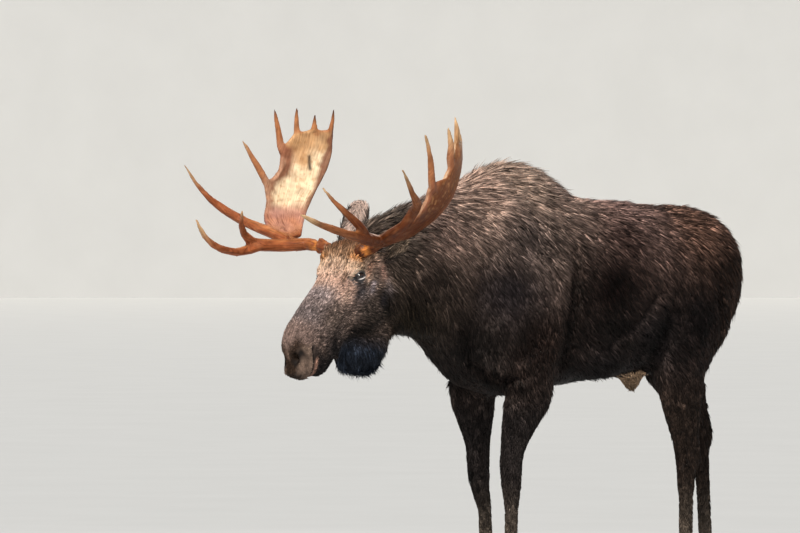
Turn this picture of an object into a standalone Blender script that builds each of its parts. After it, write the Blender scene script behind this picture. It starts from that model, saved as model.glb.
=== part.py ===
# A standing bull moose, life size, as a still museum model.
# Metres, +Z up. The head is towards -X and the animal's left side is -Y.

import bpy
import bmesh
from math import cos, pi, radians, sin, tau
from mathutils import Euler, Matrix, Vector

# Heights and lengths that drive the animal
hump_height = 1.88
hump_reach = 0.45
croup_height = 1.69
stifle_height = 1.03
chest_height = 0.905
belly_height = 0.982
rump_end = 1.108
half_girth = 0.285
shoulder_side = 0.155
hip_side = 0.150

# Head frame: the midpoint between the antler burrs, and how far the head turns to its left
head_origin = Vector((-0.870, -0.120, 1.510))
head_yaw = radians(12)
face_slope = radians(49)
brow_half_width = 0.120
muzzle_half_width = 0.079

# Eyes, ears, antlers and feet
eye_radius = 0.0205
eye_place = (0.013, 0.108, -0.107)
burr_radius = 0.038
beam_radius = 0.025
palm_thickness = 0.020
coronet_height = 0.078
coronet_slope = 0.18
toe_length = 0.150
toe_width = 0.058
claw_length = 0.055

# Meshing
cut_gap = 0.0003
weld_distance = 0.00001
body_voxel = 0.014
antler_voxel = 0.0060
flesh_triangles = 3020
antler_triangles = 680
foot_sides = 8

coat_colour = (0.035, 0.026, 0.022)
leg_colour = (0.060, 0.050, 0.043)
face_colour = (0.085, 0.062, 0.045)
antler_colour = (0.360, 0.190, 0.080)
hoof_colour = (0.022, 0.020, 0.019)
eye_colour = (0.010, 0.006, 0.004)


def clear_scene():
    for item in list(bpy.data.objects):
        bpy.data.objects.remove(item)


def new_collection(name, hidden=False):
    collection = bpy.data.collections.new(name)
    collection.hide_render = hidden
    bpy.context.scene.collection.children.link(collection)
    return collection


def finish(name, colour, roughness):
    material = bpy.data.materials.new(name)
    material.use_nodes = True
    shader = material.node_tree.nodes["Principled BSDF"]
    shader.inputs["Base Color"].default_value = (*colour, 1)
    shader.inputs["Roughness"].default_value = roughness
    shader.inputs["Metallic"].default_value = 0
    material.diffuse_color = (*colour, 1)
    return material


def mesh_object(name, bm, collection):
    bmesh.ops.recalc_face_normals(bm, faces=bm.faces)
    mesh = bpy.data.meshes.new(name)
    bm.to_mesh(mesh)
    bm.free()
    item = bpy.data.objects.new(name, mesh)
    collection.objects.link(item)
    return item


def baked(item):
    """A new mesh of the object with its modifiers applied."""
    bpy.context.view_layer.update()
    graph = bpy.context.evaluated_depsgraph_get()
    return bpy.data.meshes.new_from_object(item.evaluated_get(graph))


def bake_modifiers(item):
    mesh = baked(item)
    item.modifiers.clear()
    item.data = mesh


# Lofted, round and tubular forms

def ring_point(angle, half_width, rise, drop, top_power, low_power):
    across = cos(angle)
    upward = sin(angle)
    power = top_power if upward > 0 else low_power
    height = rise if upward > 0 else drop
    side = half_width * (abs(across) ** (2 / power)) * (1 if across > 0 else -1)
    return side, height * (abs(upward) ** (2 / power)) * (1 if upward > 0 else -1)


def add_loft(bm, sections, sides=28):
    """Sections are (centre, side axis, up axis, half width, rise, drop, top power, low power)."""
    rings = []
    for centre, side_axis, up_axis, *shape in sections:
        ring = []
        for step in range(sides):
            side, height = ring_point(tau * step / sides, *shape)
            ring.append(bm.verts.new(centre + side_axis * side + up_axis * height))
        rings.append(ring)
    for ring, following in zip(rings, rings[1:]):
        for step in range(sides):
            after = (step + 1) % sides
            bm.faces.new((ring[step], ring[after], following[after], following[step]))
    bm.faces.new(rings[0])
    bm.faces.new(rings[-1])


def smooth_rows(rows, steps):
    """Catmull-Rom through rows of numbers, with steps new rows for each span."""
    result = []
    for index in range(len(rows) - 1):
        before = rows[max(index - 1, 0)]
        start = rows[index]
        end = rows[index + 1]
        after = rows[min(index + 2, len(rows) - 1)]
        for step in range(steps):
            t = step / steps
            result.append([
                0.5 * (2 * b + (c - a) * t + (2 * a - 5 * b + 4 * c - d) * t * t
                       + (3 * b - a - 3 * c + d) * t ** 3)
                for a, b, c, d in zip(before, start, end, after)
            ])
    result.append(list(rows[-1]))
    return result


def add_ellipsoid(bm, centre, radii, turn=(0, 0, 0)):
    place = Matrix.LocRotScale(Vector(centre), Euler(turn), Vector(radii))
    bmesh.ops.create_uvsphere(bm, u_segments=24, v_segments=14, radius=1, matrix=place)


def add_tube(bm, points, radii, steps=6, sides=3):
    """A bevelled curve through the points, whose radius follows the radii."""
    rows = smooth_rows([(*point, radius) for point, radius in zip(points, radii)], steps)
    curve = bpy.data.curves.new("tube", "CURVE")
    curve.dimensions = "3D"
    curve.bevel_depth = 1
    curve.bevel_resolution = sides
    curve.use_fill_caps = True
    spline = curve.splines.new("POLY")
    spline.points.add(len(rows) - 1)
    for point, row in zip(spline.points, rows):
        point.co = (*row[:3], 1)
        point.radius = row[3]
    guide = bpy.data.objects.new("tube", curve)
    bpy.context.scene.collection.objects.link(guide)
    mesh = baked(guide)
    bm.from_mesh(mesh)
    bpy.data.objects.remove(guide)
    bmesh.ops.remove_doubles(bm, verts=bm.verts, dist=weld_distance)


def fuse(item, voxel, smoothing, triangles):
    """One even skin round every overlapping form, thinned to about the given triangles."""
    remesh = item.modifiers.new("fuse", "REMESH")
    remesh.mode = "VOXEL"
    remesh.voxel_size = voxel
    bake_modifiers(item)
    smooth = item.modifiers.new("smooth", "SMOOTH")
    smooth.factor = 0.5
    smooth.iterations = smoothing
    bake_modifiers(item)
    thin = item.modifiers.new("thin", "DECIMATE")
    thin.ratio = triangles / (2 * len(item.data.polygons))
    bake_modifiers(item)


# Cuts between the named pieces

def side_of_plane(source, point, normal, name, collection):
    """A closed copy of what lies on the side that the normal points to."""
    bm = bmesh.new()
    bm.from_mesh(source.data)
    geometry = bm.verts[:] + bm.edges[:] + bm.faces[:]
    bmesh.ops.bisect_plane(bm, geom=geometry, plane_co=point, plane_no=normal, dist=weld_distance,
                           clear_inner=True)
    rim = [edge for edge in bm.edges if edge.is_boundary]
    bmesh.ops.holes_fill(bm, edges=rim, sides=0)
    bmesh.ops.triangulate(bm, faces=bm.faces)
    return mesh_object(name, bm, collection)


def split_by_plane(source, point, normal, front_name, back_name, collection):
    normal = Vector(normal).normalized()
    offset = normal * (cut_gap / 2)
    front = side_of_plane(source, Vector(point) + offset, normal, front_name, collection)
    back = side_of_plane(source, Vector(point) - offset, -normal, back_name, collection)
    bpy.data.objects.remove(source)
    return front, back


def block_cutter(name, place, size, growth, collection):
    """A box of the given size at a placing matrix, grown or shrunk for the cut gap."""
    grown = Vector(size) + Vector((growth, growth, growth))
    bm = bmesh.new()
    bmesh.ops.create_cube(bm, size=1, matrix=place @ Matrix.Diagonal((*grown, 1)))
    return as_cutter(mesh_object(name, bm, collection))


def as_cutter(item):
    item.hide_render = True
    item.display_type = "WIRE"
    return item


def boolean(item, operation, cutter):
    step = item.modifiers.new(operation.lower(), "BOOLEAN")
    step.operation = operation
    step.solver = "EXACT"
    step.object = cutter
    bake_modifiers(item)


def split_by_block(source, name, place, size, parts, cutters):
    """Takes the part inside a box off the source, and leaves the cut gap between them."""
    piece = bpy.data.objects.new(name, source.data.copy())
    parts.objects.link(piece)
    boolean(piece, "INTERSECT", block_cutter(f"cut_{name}_inner", place, size, -cut_gap, cutters))
    boolean(source, "DIFFERENCE", block_cutter(f"cut_{name}_outer", place, size, cut_gap, cutters))
    return piece


def seat(piece, hosts, cutters):
    """Cuts the piece's shape, with the gap round it, out of its hosts."""
    bm = bmesh.new()
    bm.from_mesh(piece.data)
    bmesh.ops.triangulate(bm, faces=bm.faces)
    bm.to_mesh(piece.data)
    bm.normal_update()
    for vertex in bm.verts:
        vertex.co += vertex.normal * cut_gap * min(vertex.calc_shell_factor(), 4)
    cutter = as_cutter(mesh_object(f"cut_{piece.name}", bm, cutters))
    for host in hosts:
        boolean(host, "DIFFERENCE", cutter)


# The trunk and neck, as upright sections from the rump to the poll

def torso_sections():
    # x, y, top, widest, bottom, half width
    stations = [
        (rump_end, 0.000, 1.49, 1.42, 1.33, 0.090),
        (1.080, 0.000, 1.585, 1.41, 1.22, 0.165),
        (1.000, 0.000, 1.655, 1.40, 1.10, 0.222),
        (0.890, 0.000, croup_height, 1.39, 1.03, 0.250),
        (0.720, 0.000, 1.697, 1.38, 1.01, 0.265),
        (0.560, 0.000, 1.714, 1.37, belly_height, half_girth),
        (0.400, 0.000, 1.724, 1.36, 0.968, 0.292),
        (0.300, 0.000, 1.742, 1.36, 0.955, 0.290),
        (0.200, 0.000, 1.808, 1.36, 0.938, 0.282),
        (0.110, 0.000, 1.858, 1.36, 0.920, 0.268),
        (0.000, 0.000, hump_height, 1.36, chest_height, 0.252),
        (-0.110, 0.000, 1.858, 1.36, 0.915, 0.236),
        (-0.230, 0.000, 1.800, 1.37, 0.950, 0.216),
        (-0.330, -0.005, 1.765, 1.39, 1.040, 0.198),
        (-0.430, -0.012, 1.728, 1.41, 1.140, 0.178),
        (-0.550, -0.028, 1.680, 1.43, 1.168, 0.158),
        (-0.660, -0.052, 1.645, 1.44, 1.190, 0.140),
        (-0.760, -0.080, 1.600, 1.44, 1.270, 0.122),
        (-0.840, -0.100, 1.540, 1.43, 1.350, 0.085),
    ]
    for x, y, top, widest, bottom, half_width in smooth_rows(stations, 3):
        ridge = 1 - min(abs(x) / hump_reach, 1)
        yield (Vector((x, y, widest)), Vector((0, 1, 0)), Vector((0, 0, 1)), half_width,
               top - widest, widest - bottom, 2.15 - 0.45 * ridge, 2.25)


def add_muscles(bm):
    for side in (-1, 1):
        add_ellipsoid(bm, (-0.040, side * 0.150, 1.440), (0.170, 0.085, 0.300), (0, radians(-10), 0))
        add_ellipsoid(bm, (-0.110, side * 0.145, 1.180), (0.150, 0.095, 0.190))
        add_ellipsoid(bm, (0.055, side * 0.150, 1.090), (0.120, 0.085, 0.200), (0, radians(18), 0))
        add_ellipsoid(bm, (0.835, side * 0.145, 1.300), (0.205, 0.115, 0.280), (0, radians(3), 0))
        add_ellipsoid(bm, (0.340, side * 0.150, 1.280), (0.270, 0.130, 0.310))
    add_ellipsoid(bm, (-0.172, 0.000, 1.064), (0.122, 0.155, 0.134))
    # The sheath, under the rear of the belly
    add_tube(bm, [(0.690, 0, 1.075), (0.642, 0, 1.006), (0.622, 0, 0.962)], [0.056, 0.043, 0.031])


# Legs, as tapered sections down each limb

def leg_sections(rows, side):
    """Rows are x, distance from the mid-plane, z, half length fore and aft, and half width."""
    rows = smooth_rows(rows, 3)
    for index, (x, y, z, half_length, half_width) in enumerate(rows):
        above = Vector(rows[max(index - 1, 0)][:3])
        below = Vector(rows[min(index + 1, len(rows) - 1)][:3])
        along = (below - above).normalized()
        across = Vector((0, 1, 0))
        fore = across.cross(along).normalized()
        yield (Vector((x, side * y, z)), across, fore, half_width, half_length, half_length, 2.0, 2.0)


def foreleg_rows(elbow, knee, foot):
    return [
        (elbow + 0.010, shoulder_side, 1.120, 0.120, 0.070),
        (elbow + 0.005, shoulder_side, 0.990, 0.125, 0.075),
        (elbow, shoulder_side - 0.003, 0.905, 0.114, 0.071),
        (0.55 * elbow + 0.45 * knee, 0.150, 0.812, 0.092, 0.061),
        (0.15 * elbow + 0.85 * knee, 0.147, 0.710, 0.063, 0.051),
        (knee, 0.146, 0.615, 0.055, 0.050),
        (knee + 0.004, 0.145, 0.545, 0.050, 0.044),
        (0.5 * knee + 0.5 * foot + 0.012, 0.144, 0.440, 0.037, 0.034),
        (0.4 * knee + 0.6 * foot + 0.014, 0.143, 0.310, 0.036, 0.032),
        (foot + 0.026, 0.142, 0.215, 0.040, 0.036),
        (foot + 0.022, 0.142, 0.165, 0.048, 0.043),
        (foot + 0.008, 0.142, 0.115, 0.043, 0.042),
        (foot - 0.004, 0.142, 0.070, 0.050, 0.047),
        (foot - 0.008, 0.142, 0.040, 0.046, 0.044),
    ]


def hind_leg_rows(stifle, hock, hock_height, foot):
    """From the thigh: the shank runs between the stifle and the hock, at shares of that length."""
    cannon = foot + 0.022
    rows = [
        (0.4 * stifle + 0.510, hip_side + 0.005, 1.260, 0.200, 0.090),
        (0.7 * stifle + 0.255, hip_side + 0.003, 1.150, 0.172, 0.088),
    ]
    shank = ((1.00, 0.146, 0.082), (0.72, 0.112, 0.070), (0.45, 0.092, 0.056), (0.20, 0.068, 0.044))
    for share, half_length, half_width in shank:
        x = hock + (stifle - hock) * share
        z = hock_height + (stifle_height - hock_height) * share
        rows.append((x, hip_side - 0.010 * (1 - share), z, half_length, half_width))
    return rows + [
        (hock + 0.002, hip_side - 0.013, hock_height - 0.005, 0.060, 0.041),
        (0.75 * hock + 0.25 * cannon, hip_side - 0.015, hock_height - 0.090, 0.048, 0.037),
        (0.5 * hock + 0.5 * cannon, hip_side - 0.015, hock_height - 0.200, 0.039, 0.033),
        (0.2 * hock + 0.8 * cannon, hip_side - 0.015, 0.310, 0.037, 0.032),
        (cannon, hip_side - 0.015, 0.215, 0.040, 0.035),
        (foot + 0.020, hip_side - 0.015, 0.165, 0.048, 0.042),
        (foot + 0.006, hip_side - 0.015, 0.115, 0.043, 0.041),
        (foot - 0.004, hip_side - 0.015, 0.070, 0.050, 0.046),
        (foot - 0.008, hip_side - 0.015, 0.040, 0.046, 0.043),
    ]


def hock_bone(bm, hock, hock_height, side):
    """The heel bone that stands up behind the hock, with its tendon."""
    y = side * (hip_side - 0.012)
    points = [(hock + 0.062, y, hock_height + 0.005), (hock + 0.050, y, hock_height + 0.100),
              (hock + 0.030, y, hock_height + 0.240)]
    add_tube(bm, points, [0.024, 0.015, 0.016])
    add_ellipsoid(bm, (hock + 0.045, y, hock_height - 0.012), (0.036, 0.028, 0.040))


# elbow, knee and foot; stifle, hock, hock height and foot
fore_stance = {-1: (0.010, -0.068, -0.085), 1: (-0.058, -0.035, 0.000)}
hind_stance = {-1: (0.765, 0.812, 0.645, 0.790), 1: (0.932, 1.062, 0.730, 1.085)}


def foot_places():
    for side, label in ((-1, "left"), (1, "right")):
        yield f"fore_{label}", fore_stance[side][2], side * 0.142
        yield f"hind_{label}", hind_stance[side][3], side * (hip_side - 0.015)


# The head, in its own frame of forward, left and up

def head_place(forward, left, up):
    ahead = Vector((-cos(head_yaw), -sin(head_yaw), 0))
    leftward = Vector((sin(head_yaw), -cos(head_yaw), 0))
    return head_origin + ahead * forward + leftward * left + Vector((0, 0, up))


def head_direction(forward, left, up):
    return (head_place(forward, left, up) - head_origin).normalized()


def head_matrix(place, nod):
    """A placing matrix that is square to the head, then tipped by the nod."""
    turn = Matrix.Rotation(head_yaw, 4, "Z") @ Matrix.Rotation(nod, 4, "Y")
    return Matrix.Translation(head_place(*place)) @ turn


def along_face(distance, height, left=0.0):
    """A point at a distance down the face from the burrs, and a height off that line."""
    forward = distance * cos(face_slope) + height * sin(face_slope)
    up = height * cos(face_slope) - distance * sin(face_slope)
    return head_place(forward, left, up)


def head_sections():
    # distance down the face, bridge, widest, jaw, half width
    stations = [
        (-0.150, -0.075, -0.170, -0.270, 0.070),
        (-0.090, -0.015, -0.150, -0.315, 0.098),
        (-0.020, 0.012, -0.110, -0.335, 0.106),
        (0.050, 0.014, -0.080, -0.335, brow_half_width - 0.010),
        (0.110, 0.002, -0.080, -0.320, brow_half_width - 0.010),
        (0.190, 0.008, -0.105, -0.285, 0.098),
        (0.270, 0.024, -0.115, -0.250, 0.082),
        (0.350, 0.031, -0.120, -0.236, 0.077),
        (0.420, 0.028, -0.120, -0.234, 0.077),
        (0.465, 0.013, -0.114, -0.226, muzzle_half_width - 0.003),
        (0.503, -0.019, -0.112, -0.205, muzzle_half_width - 0.005),
        (0.535, -0.066, -0.118, -0.178, 0.066),
        (0.553, -0.096, -0.128, -0.160, 0.054),
        (0.564, -0.120, -0.134, -0.148, 0.034),
    ]
    side_axis = head_direction(0, 1, 0)
    up_axis = head_direction(sin(face_slope), 0, cos(face_slope))
    for distance, bridge, widest, jaw, half_width in smooth_rows(stations, 3):
        yield (along_face(distance, widest), side_axis, up_axis, half_width,
               bridge - widest, widest - jaw, 2.4, 2.1)


def add_head(bm):
    add_loft(bm, list(head_sections()), 24)
    for side in (-1, 1):
        brow = head_place(0.012, side * 0.095, -0.066)
        add_ellipsoid(bm, brow, (0.052, 0.034, 0.024), (0, radians(-38), head_yaw))
        orbit = head_place(0.012, side * 0.087, -0.104)
        add_ellipsoid(bm, orbit, (0.042, 0.033, 0.038), (0, 0, head_yaw))
        cheek = along_face(0.115, -0.215, side * 0.055)
        add_ellipsoid(bm, cheek, (0.120, 0.048, 0.100), (0, -face_slope, head_yaw))
        add_ellipsoid(bm, along_face(0.488, -0.064, side * 0.043), (0.029, 0.028, 0.028))
        add_ellipsoid(bm, along_face(0.546, -0.118, side * 0.034), (0.029, 0.028, 0.028))
        add_tube(bm, [head_place(-0.010, side * 0.060, -0.030), head_place(-0.004, side * 0.115, 0.003)],
                 [0.045, 0.038])
        add_ellipsoid(bm, head_place(-0.085, side * 0.085, -0.040), (0.050, 0.045, 0.055))
    # The lower lip, under the overhanging muzzle
    add_ellipsoid(bm, along_face(0.440, -0.199), (0.060, 0.050, 0.039), (0, -face_slope, head_yaw))


def add_bell(bm):
    """The flap of skin and long hair under the throat."""
    # forward, top, bottom, half width
    rows = [
        (0.045, -0.40, -0.455, 0.020),
        (0.010, -0.34, -0.482, 0.038),
        (-0.060, -0.30, -0.505, 0.050),
        (-0.135, -0.28, -0.503, 0.052),
        (-0.200, -0.27, -0.470, 0.046),
        (-0.255, -0.27, -0.395, 0.026),
    ]
    side_axis = head_direction(0, 1, 0)
    sections = []
    for forward, top, bottom, half_width in smooth_rows(rows, 2):
        middle = 0.5 * (top + bottom)
        sections.append((head_place(forward, 0, middle), side_axis, Vector((0, 0, 1)), half_width,
                         top - middle, middle - bottom, 2.0, 1.8))
    add_loft(bm, sections, 16)


def ear(name, side, tip, opening, collection):
    """A long leaf of an ear, rolled at its base, whose hollow faces the opening direction."""
    root = head_place(-0.085, side * 0.090, -0.030)
    end = head_place(*tip)
    along = end - root
    length = along.length
    along.normalize()
    across = along.cross(head_direction(*opening)).normalized()
    face = across.cross(along).normalized()
    rows = [(0.00, 0.022, 0.022), (0.12, 0.030, 0.024), (0.30, 0.042, 0.020), (0.50, 0.051, 0.014),
            (0.72, 0.052, 0.010), (0.90, 0.036, 0.007), (1.00, 0.012, 0.005)]
    sections = []
    for share, half_width, thickness in smooth_rows(rows, 1):
        centre = root + along * length * share - face * 0.012 * sin(pi * share)
        sections.append((centre, across, face, half_width, 0.4 * thickness, thickness, 2, 2))
    bm = bmesh.new()
    add_loft(bm, sections, 12)
    return mesh_object(name, bm, collection)


# Tip and opening of each ear: the left one is laid back, the right one is up
ear_pose = {
    1: ((-0.225, 0.135, 0.045), (0.45, 0.80, -0.40)),
    -1: ((-0.266, -0.160, 0.197), (0.76, 0.58, 0.20)),
}


def eye(name, side, collection):
    forward, left, up = eye_place
    bm = bmesh.new()
    bmesh.ops.create_uvsphere(bm, u_segments=12, v_segments=8, radius=eye_radius,
                              matrix=Matrix.Translation(head_place(forward, side * left, up)))
    return mesh_object(name, bm, collection)


# Antlers, in the head's frame: forward, outward, up, and up on the right where the two sides differ

beam = [
    (-0.004, 0.085, 0.000), (-0.004, 0.130, 0.000, 0.014), (0.000, 0.200, 0.029, 0.025),
    (0.005, 0.270, 0.050, 0.022), (0.010, 0.330, 0.062, 0.045),
]
burr = [(-0.004, 0.116, -0.002, 0.012), (-0.004, 0.124, 0.000, 0.014), (-0.004, 0.136, 0.003, 0.015),
        (-0.003, 0.145, 0.006, 0.016)]
brow_root = [(0.005, 0.215, 0.034, 0.022), (0.090, 0.270, 0.042, 0.018), (0.173, 0.300, 0.050, 0.022)]
low_brow_tine = [
    (0.173, 0.300, 0.050, 0.020), (0.283, 0.320, 0.066, -0.006), (0.413, 0.306, 0.103, 0.014),
    (0.489, 0.305, 0.128, 0.064), (0.540, 0.298, 0.152, 0.132),
]
high_brow_tine = [
    (0.150, 0.292, 0.046, 0.022), (0.210, 0.315, 0.095, 0.037), (0.265, 0.303, 0.142, 0.070),
    (0.307, 0.275, 0.189, 0.111), (0.346, 0.227, 0.259, 0.169),
]
front_tine = [
    (0.045, 0.275, 0.045, 0.040), (0.060, 0.345, 0.072, 0.066), (0.066, 0.420, 0.105, 0.090),
    (0.078, 0.490, 0.165, 0.115), (0.120, 0.548, 0.190, 0.155), (0.178, 0.588, 0.214, 0.206),
    (0.240, 0.612, 0.280, 0.276), (0.297, 0.626, 0.346, 0.354),
]
palm_tines = [
    [(-0.056, 0.466, 0.225, 0.232), (-0.030, 0.480, 0.263, 0.284), (-0.003, 0.501, 0.345),
     (0.031, 0.519, 0.420, 0.407), (0.064, 0.527, 0.486, 0.457)],
    [(-0.150, 0.478, 0.325, 0.372), (-0.127, 0.488, 0.366, 0.416), (-0.122, 0.497, 0.424, 0.481),
     (-0.110, 0.500, 0.465, 0.535), (-0.099, 0.503, 0.506, 0.584)],
    [(-0.190, 0.460, 0.428, 0.482), (-0.191, 0.464, 0.490, 0.535), (-0.180, 0.451, 0.560, 0.597)],
    [(-0.244, 0.415, 0.440, 0.480), (-0.245, 0.412, 0.480, 0.520), (-0.244, 0.408, 0.520, 0.565)],
    [(-0.294, 0.374, 0.430, 0.470), (-0.300, 0.364, 0.475, 0.520), (-0.299, 0.356, 0.520, 0.578)],
]
palm_rows = [
    [(0.055, 0.310, 0.055), (-0.010, 0.318, 0.045), (-0.070, 0.310, 0.058)],
    [(0.030, 0.425, 0.118), (-0.055, 0.412, 0.125), (-0.148, 0.370, 0.128)],
    [(-0.017, 0.457, 0.200), (-0.105, 0.452, 0.205), (-0.211, 0.396, 0.200)],
    [(-0.022, 0.473, 0.258), (-0.125, 0.470, 0.268), (-0.252, 0.394, 0.263)],
    [(-0.094, 0.468, 0.280, 0.318), (-0.165, 0.470, 0.320, 0.330), (-0.286, 0.381, 0.325)],
    [(-0.128, 0.485, 0.335, 0.402), (-0.200, 0.462, 0.385, 0.420), (-0.305, 0.369, 0.385, 0.407)],
    [(-0.180, 0.462, 0.430, 0.480), (-0.240, 0.425, 0.440, 0.490), (-0.306, 0.364, 0.440, 0.490)],
]


def antler_place(point, side):
    up = point[2] if side > 0 else point[-1]
    return head_place(point[0], side * point[1], up)


def antler_path(points, side):
    return [antler_place(point, side) for point in points]


def add_palm(bm, side):
    """The broad plate: a smooth open surface through the rows, thickened."""
    across = [smooth_rows(antler_path(row, side), 3) for row in palm_rows]
    columns = list(zip(*across))
    grid = [smooth_rows(column, 3) for column in columns]
    plate = bmesh.new()
    verts = [[plate.verts.new(point) for point in column] for column in grid]
    for column, following in zip(verts, verts[1:]):
        for index in range(len(column) - 1):
            plate.faces.new((column[index], column[index + 1], following[index + 1], following[index]))
    sheet = mesh_object("plate", plate, bpy.context.scene.collection)
    thicken = sheet.modifiers.new("thicken", "SOLIDIFY")
    thicken.thickness = palm_thickness
    thicken.offset = 0
    mesh = baked(sheet)
    bm.from_mesh(mesh)
    bpy.data.objects.remove(sheet)


def antler(label, side, parts, cutters):
    bm = bmesh.new()
    add_tube(bm, antler_path(beam, side), [0.030, 0.030, beam_radius, 0.028, 0.024])
    add_tube(bm, antler_path(burr, side), [0.030, burr_radius, burr_radius, 0.030], 2)
    add_tube(bm, antler_path(brow_root, side), [beam_radius, 0.026, 0.027])
    add_tube(bm, antler_path(low_brow_tine, side), [0.024, 0.018, 0.0155, 0.011, 0.0060])
    add_tube(bm, antler_path(high_brow_tine, side), [0.022, 0.020, 0.0165, 0.0115, 0.0060])
    add_tube(bm, antler_path(front_tine, side),
             [0.022, 0.022, 0.022, 0.021, 0.019, 0.0145, 0.0095, 0.0060])
    for tine in palm_tines:
        add_tube(bm, antler_path(tine, side), [0.015, 0.016, 0.014, 0.010, 0.0055][-len(tine):])
    add_palm(bm, side)
    whole = mesh_object(f"antler_{label}", bm, parts)
    fuse(whole, antler_voxel, 2, antler_triangles)
    place = head_matrix((0.0, side * 0.151, 0.0), 0)
    size = (0.190, 0.290, 0.190)
    beam_piece = split_by_block(whole, f"antler_{label}_beam", place, size, parts, cutters)
    brow_normal = head_direction(1, side * -0.45, -0.35)
    brow, rest = split_by_plane(whole, antler_place((0.074, 0.290, 0.030), side), brow_normal,
                                f"antler_{label}_brow", f"antler_{label}_rest", parts)
    front_normal = head_direction(0.90, side * 0.55, -0.35)
    split_by_plane(rest, antler_place((0.085, 0.500, 0.145), side), front_normal,
                   f"antler_{label}_front_tine", f"antler_{label}_palm", parts)
    return beam_piece


# Feet

def toe(name, centre_x, centre_y, outer, collection):
    """One half of the cloven hoof: flat sole, pointed in front, its inner wall nearly straight."""
    # share of the height, shift to the rear, length share, width share
    rings = [
        (0.00, -0.020, 1.00, 1.00), (0.22, -0.017, 0.97, 1.00), (0.60, -0.006, 0.84, 0.93),
        (1.00, 0.006, 0.66, 0.80),
    ]
    bm = bmesh.new()
    loops = []
    for share, shift, length_share, width_share in rings:
        loop = []
        for step in range(foot_sides):
            angle = tau * step / foot_sides
            ahead = 0.5 * toe_length * length_share * cos(angle)
            reach = toe_width * width_share * (0.62 if sin(angle) > 0 else 0.34)
            across = reach * sin(angle) * (1 - 0.38 * cos(angle))
            height = share * (coronet_height + coronet_slope * ahead)
            place = (centre_x + shift - ahead, centre_y + outer * (across + 0.4 * toe_width), height)
            loop.append(bm.verts.new(place))
        loops.append(loop)
    for loop, above in zip(loops, loops[1:]):
        for step in range(foot_sides):
            after = (step + 1) % foot_sides
            bm.faces.new((loop[step], loop[after], above[after], above[step]))
    bm.faces.new(loops[0])
    bm.faces.new(loops[-1])
    return mesh_object(name, bm, collection)


def dewclaw(name, centre_x, centre_y, outer, collection):
    bm = bmesh.new()
    root = Vector((centre_x + 0.045, centre_y + outer * 0.026, 0.150))
    tip = root + Vector((0.026, outer * 0.008, -claw_length))
    add_tube(bm, [root, 0.5 * (root + tip) + Vector((0.006, 0, 0)), tip], [0.016, 0.017, 0.007], 2, 1)
    return mesh_object(name, bm, collection)


def feet(legs, parts, cutters):
    for label, x, y in foot_places():
        side = 1 if y > 0 else -1
        for word, outer in (("outer", side), ("inner", -side)):
            seat(toe(f"toe_{label}_{word}", x, y, outer, parts), [legs[label]], cutters)
            seat(dewclaw(f"dewclaw_{label}_{word}", x, y, outer, parts), [legs[label]], cutters)


def flesh(parts):
    """Trunk, neck, head, bell and legs as one body."""
    bm = bmesh.new()
    add_loft(bm, list(torso_sections()))
    add_muscles(bm)
    add_head(bm)
    add_bell(bm)
    for side in (-1, 1):
        add_loft(bm, list(leg_sections(foreleg_rows(*fore_stance[side]), side)), 16)
        stifle, hock, hock_height, foot = hind_stance[side]
        add_loft(bm, list(leg_sections(hind_leg_rows(stifle, hock, hock_height, foot), side)), 16)
        hock_bone(bm, hock, hock_height, side)
    add_tube(bm, [(1.060, 0, 1.525), (1.108, 0, 1.475), (1.128, 0, 1.400)], [0.030, 0.030, 0.015])
    body = mesh_object("flesh", bm, parts)
    fuse(body, body_voxel, 10, flesh_triangles)
    return body


def centre_on_floor(parts, cutters):
    """Puts the origin under the middle of the whole animal's box."""
    points = [vertex.co for item in parts.objects for vertex in item.data.vertices]
    shift = Vector((0, 0, 0))
    for axis in (0, 1):
        values = [point[axis] for point in points]
        shift[axis] = -0.5 * (min(values) + max(values))
    for item in list(parts.objects) + list(cutters.objects):
        item.data.transform(Matrix.Translation(shift))


def paint(parts):
    finishes = {
        "antler": finish("antler_bone", antler_colour, 0.55),
        "toe": finish("hoof_horn", hoof_colour, 0.45),
        "dewclaw": finish("dewclaw_horn", hoof_colour, 0.50),
        "eye": finish("eyeball", eye_colour, 0.08),
        "leg": finish("leg_coat", leg_colour, 0.80),
        "head": finish("face_coat", face_colour, 0.80),
        "ear": finish("ear_coat", face_colour, 0.80),
    }
    body = finish("body_coat", coat_colour, 0.80)
    for item in parts.objects:
        item.data.materials.clear()
        item.data.materials.append(finishes.get(item.name.split("_")[0], body))
        item.data.shade_smooth()
        item.data.set_sharp_from_angle(angle=radians(40))


def leg_block(label, side):
    """The box that parts a leg from the trunk: its top is at the elbow, or slopes along the thigh."""
    if label.startswith("fore"):
        middle, tip, size = (0.0, side * 0.30, 0.46), radians(-6), (0.62, 0.52, 1.0)
    else:
        middle, tip, size = (1.0, side * 0.30, 0.58), radians(-22), (0.90, 0.58, 1.1)
    return Matrix.Translation(middle) @ Matrix.Rotation(tip, 4, "Y"), size


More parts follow.
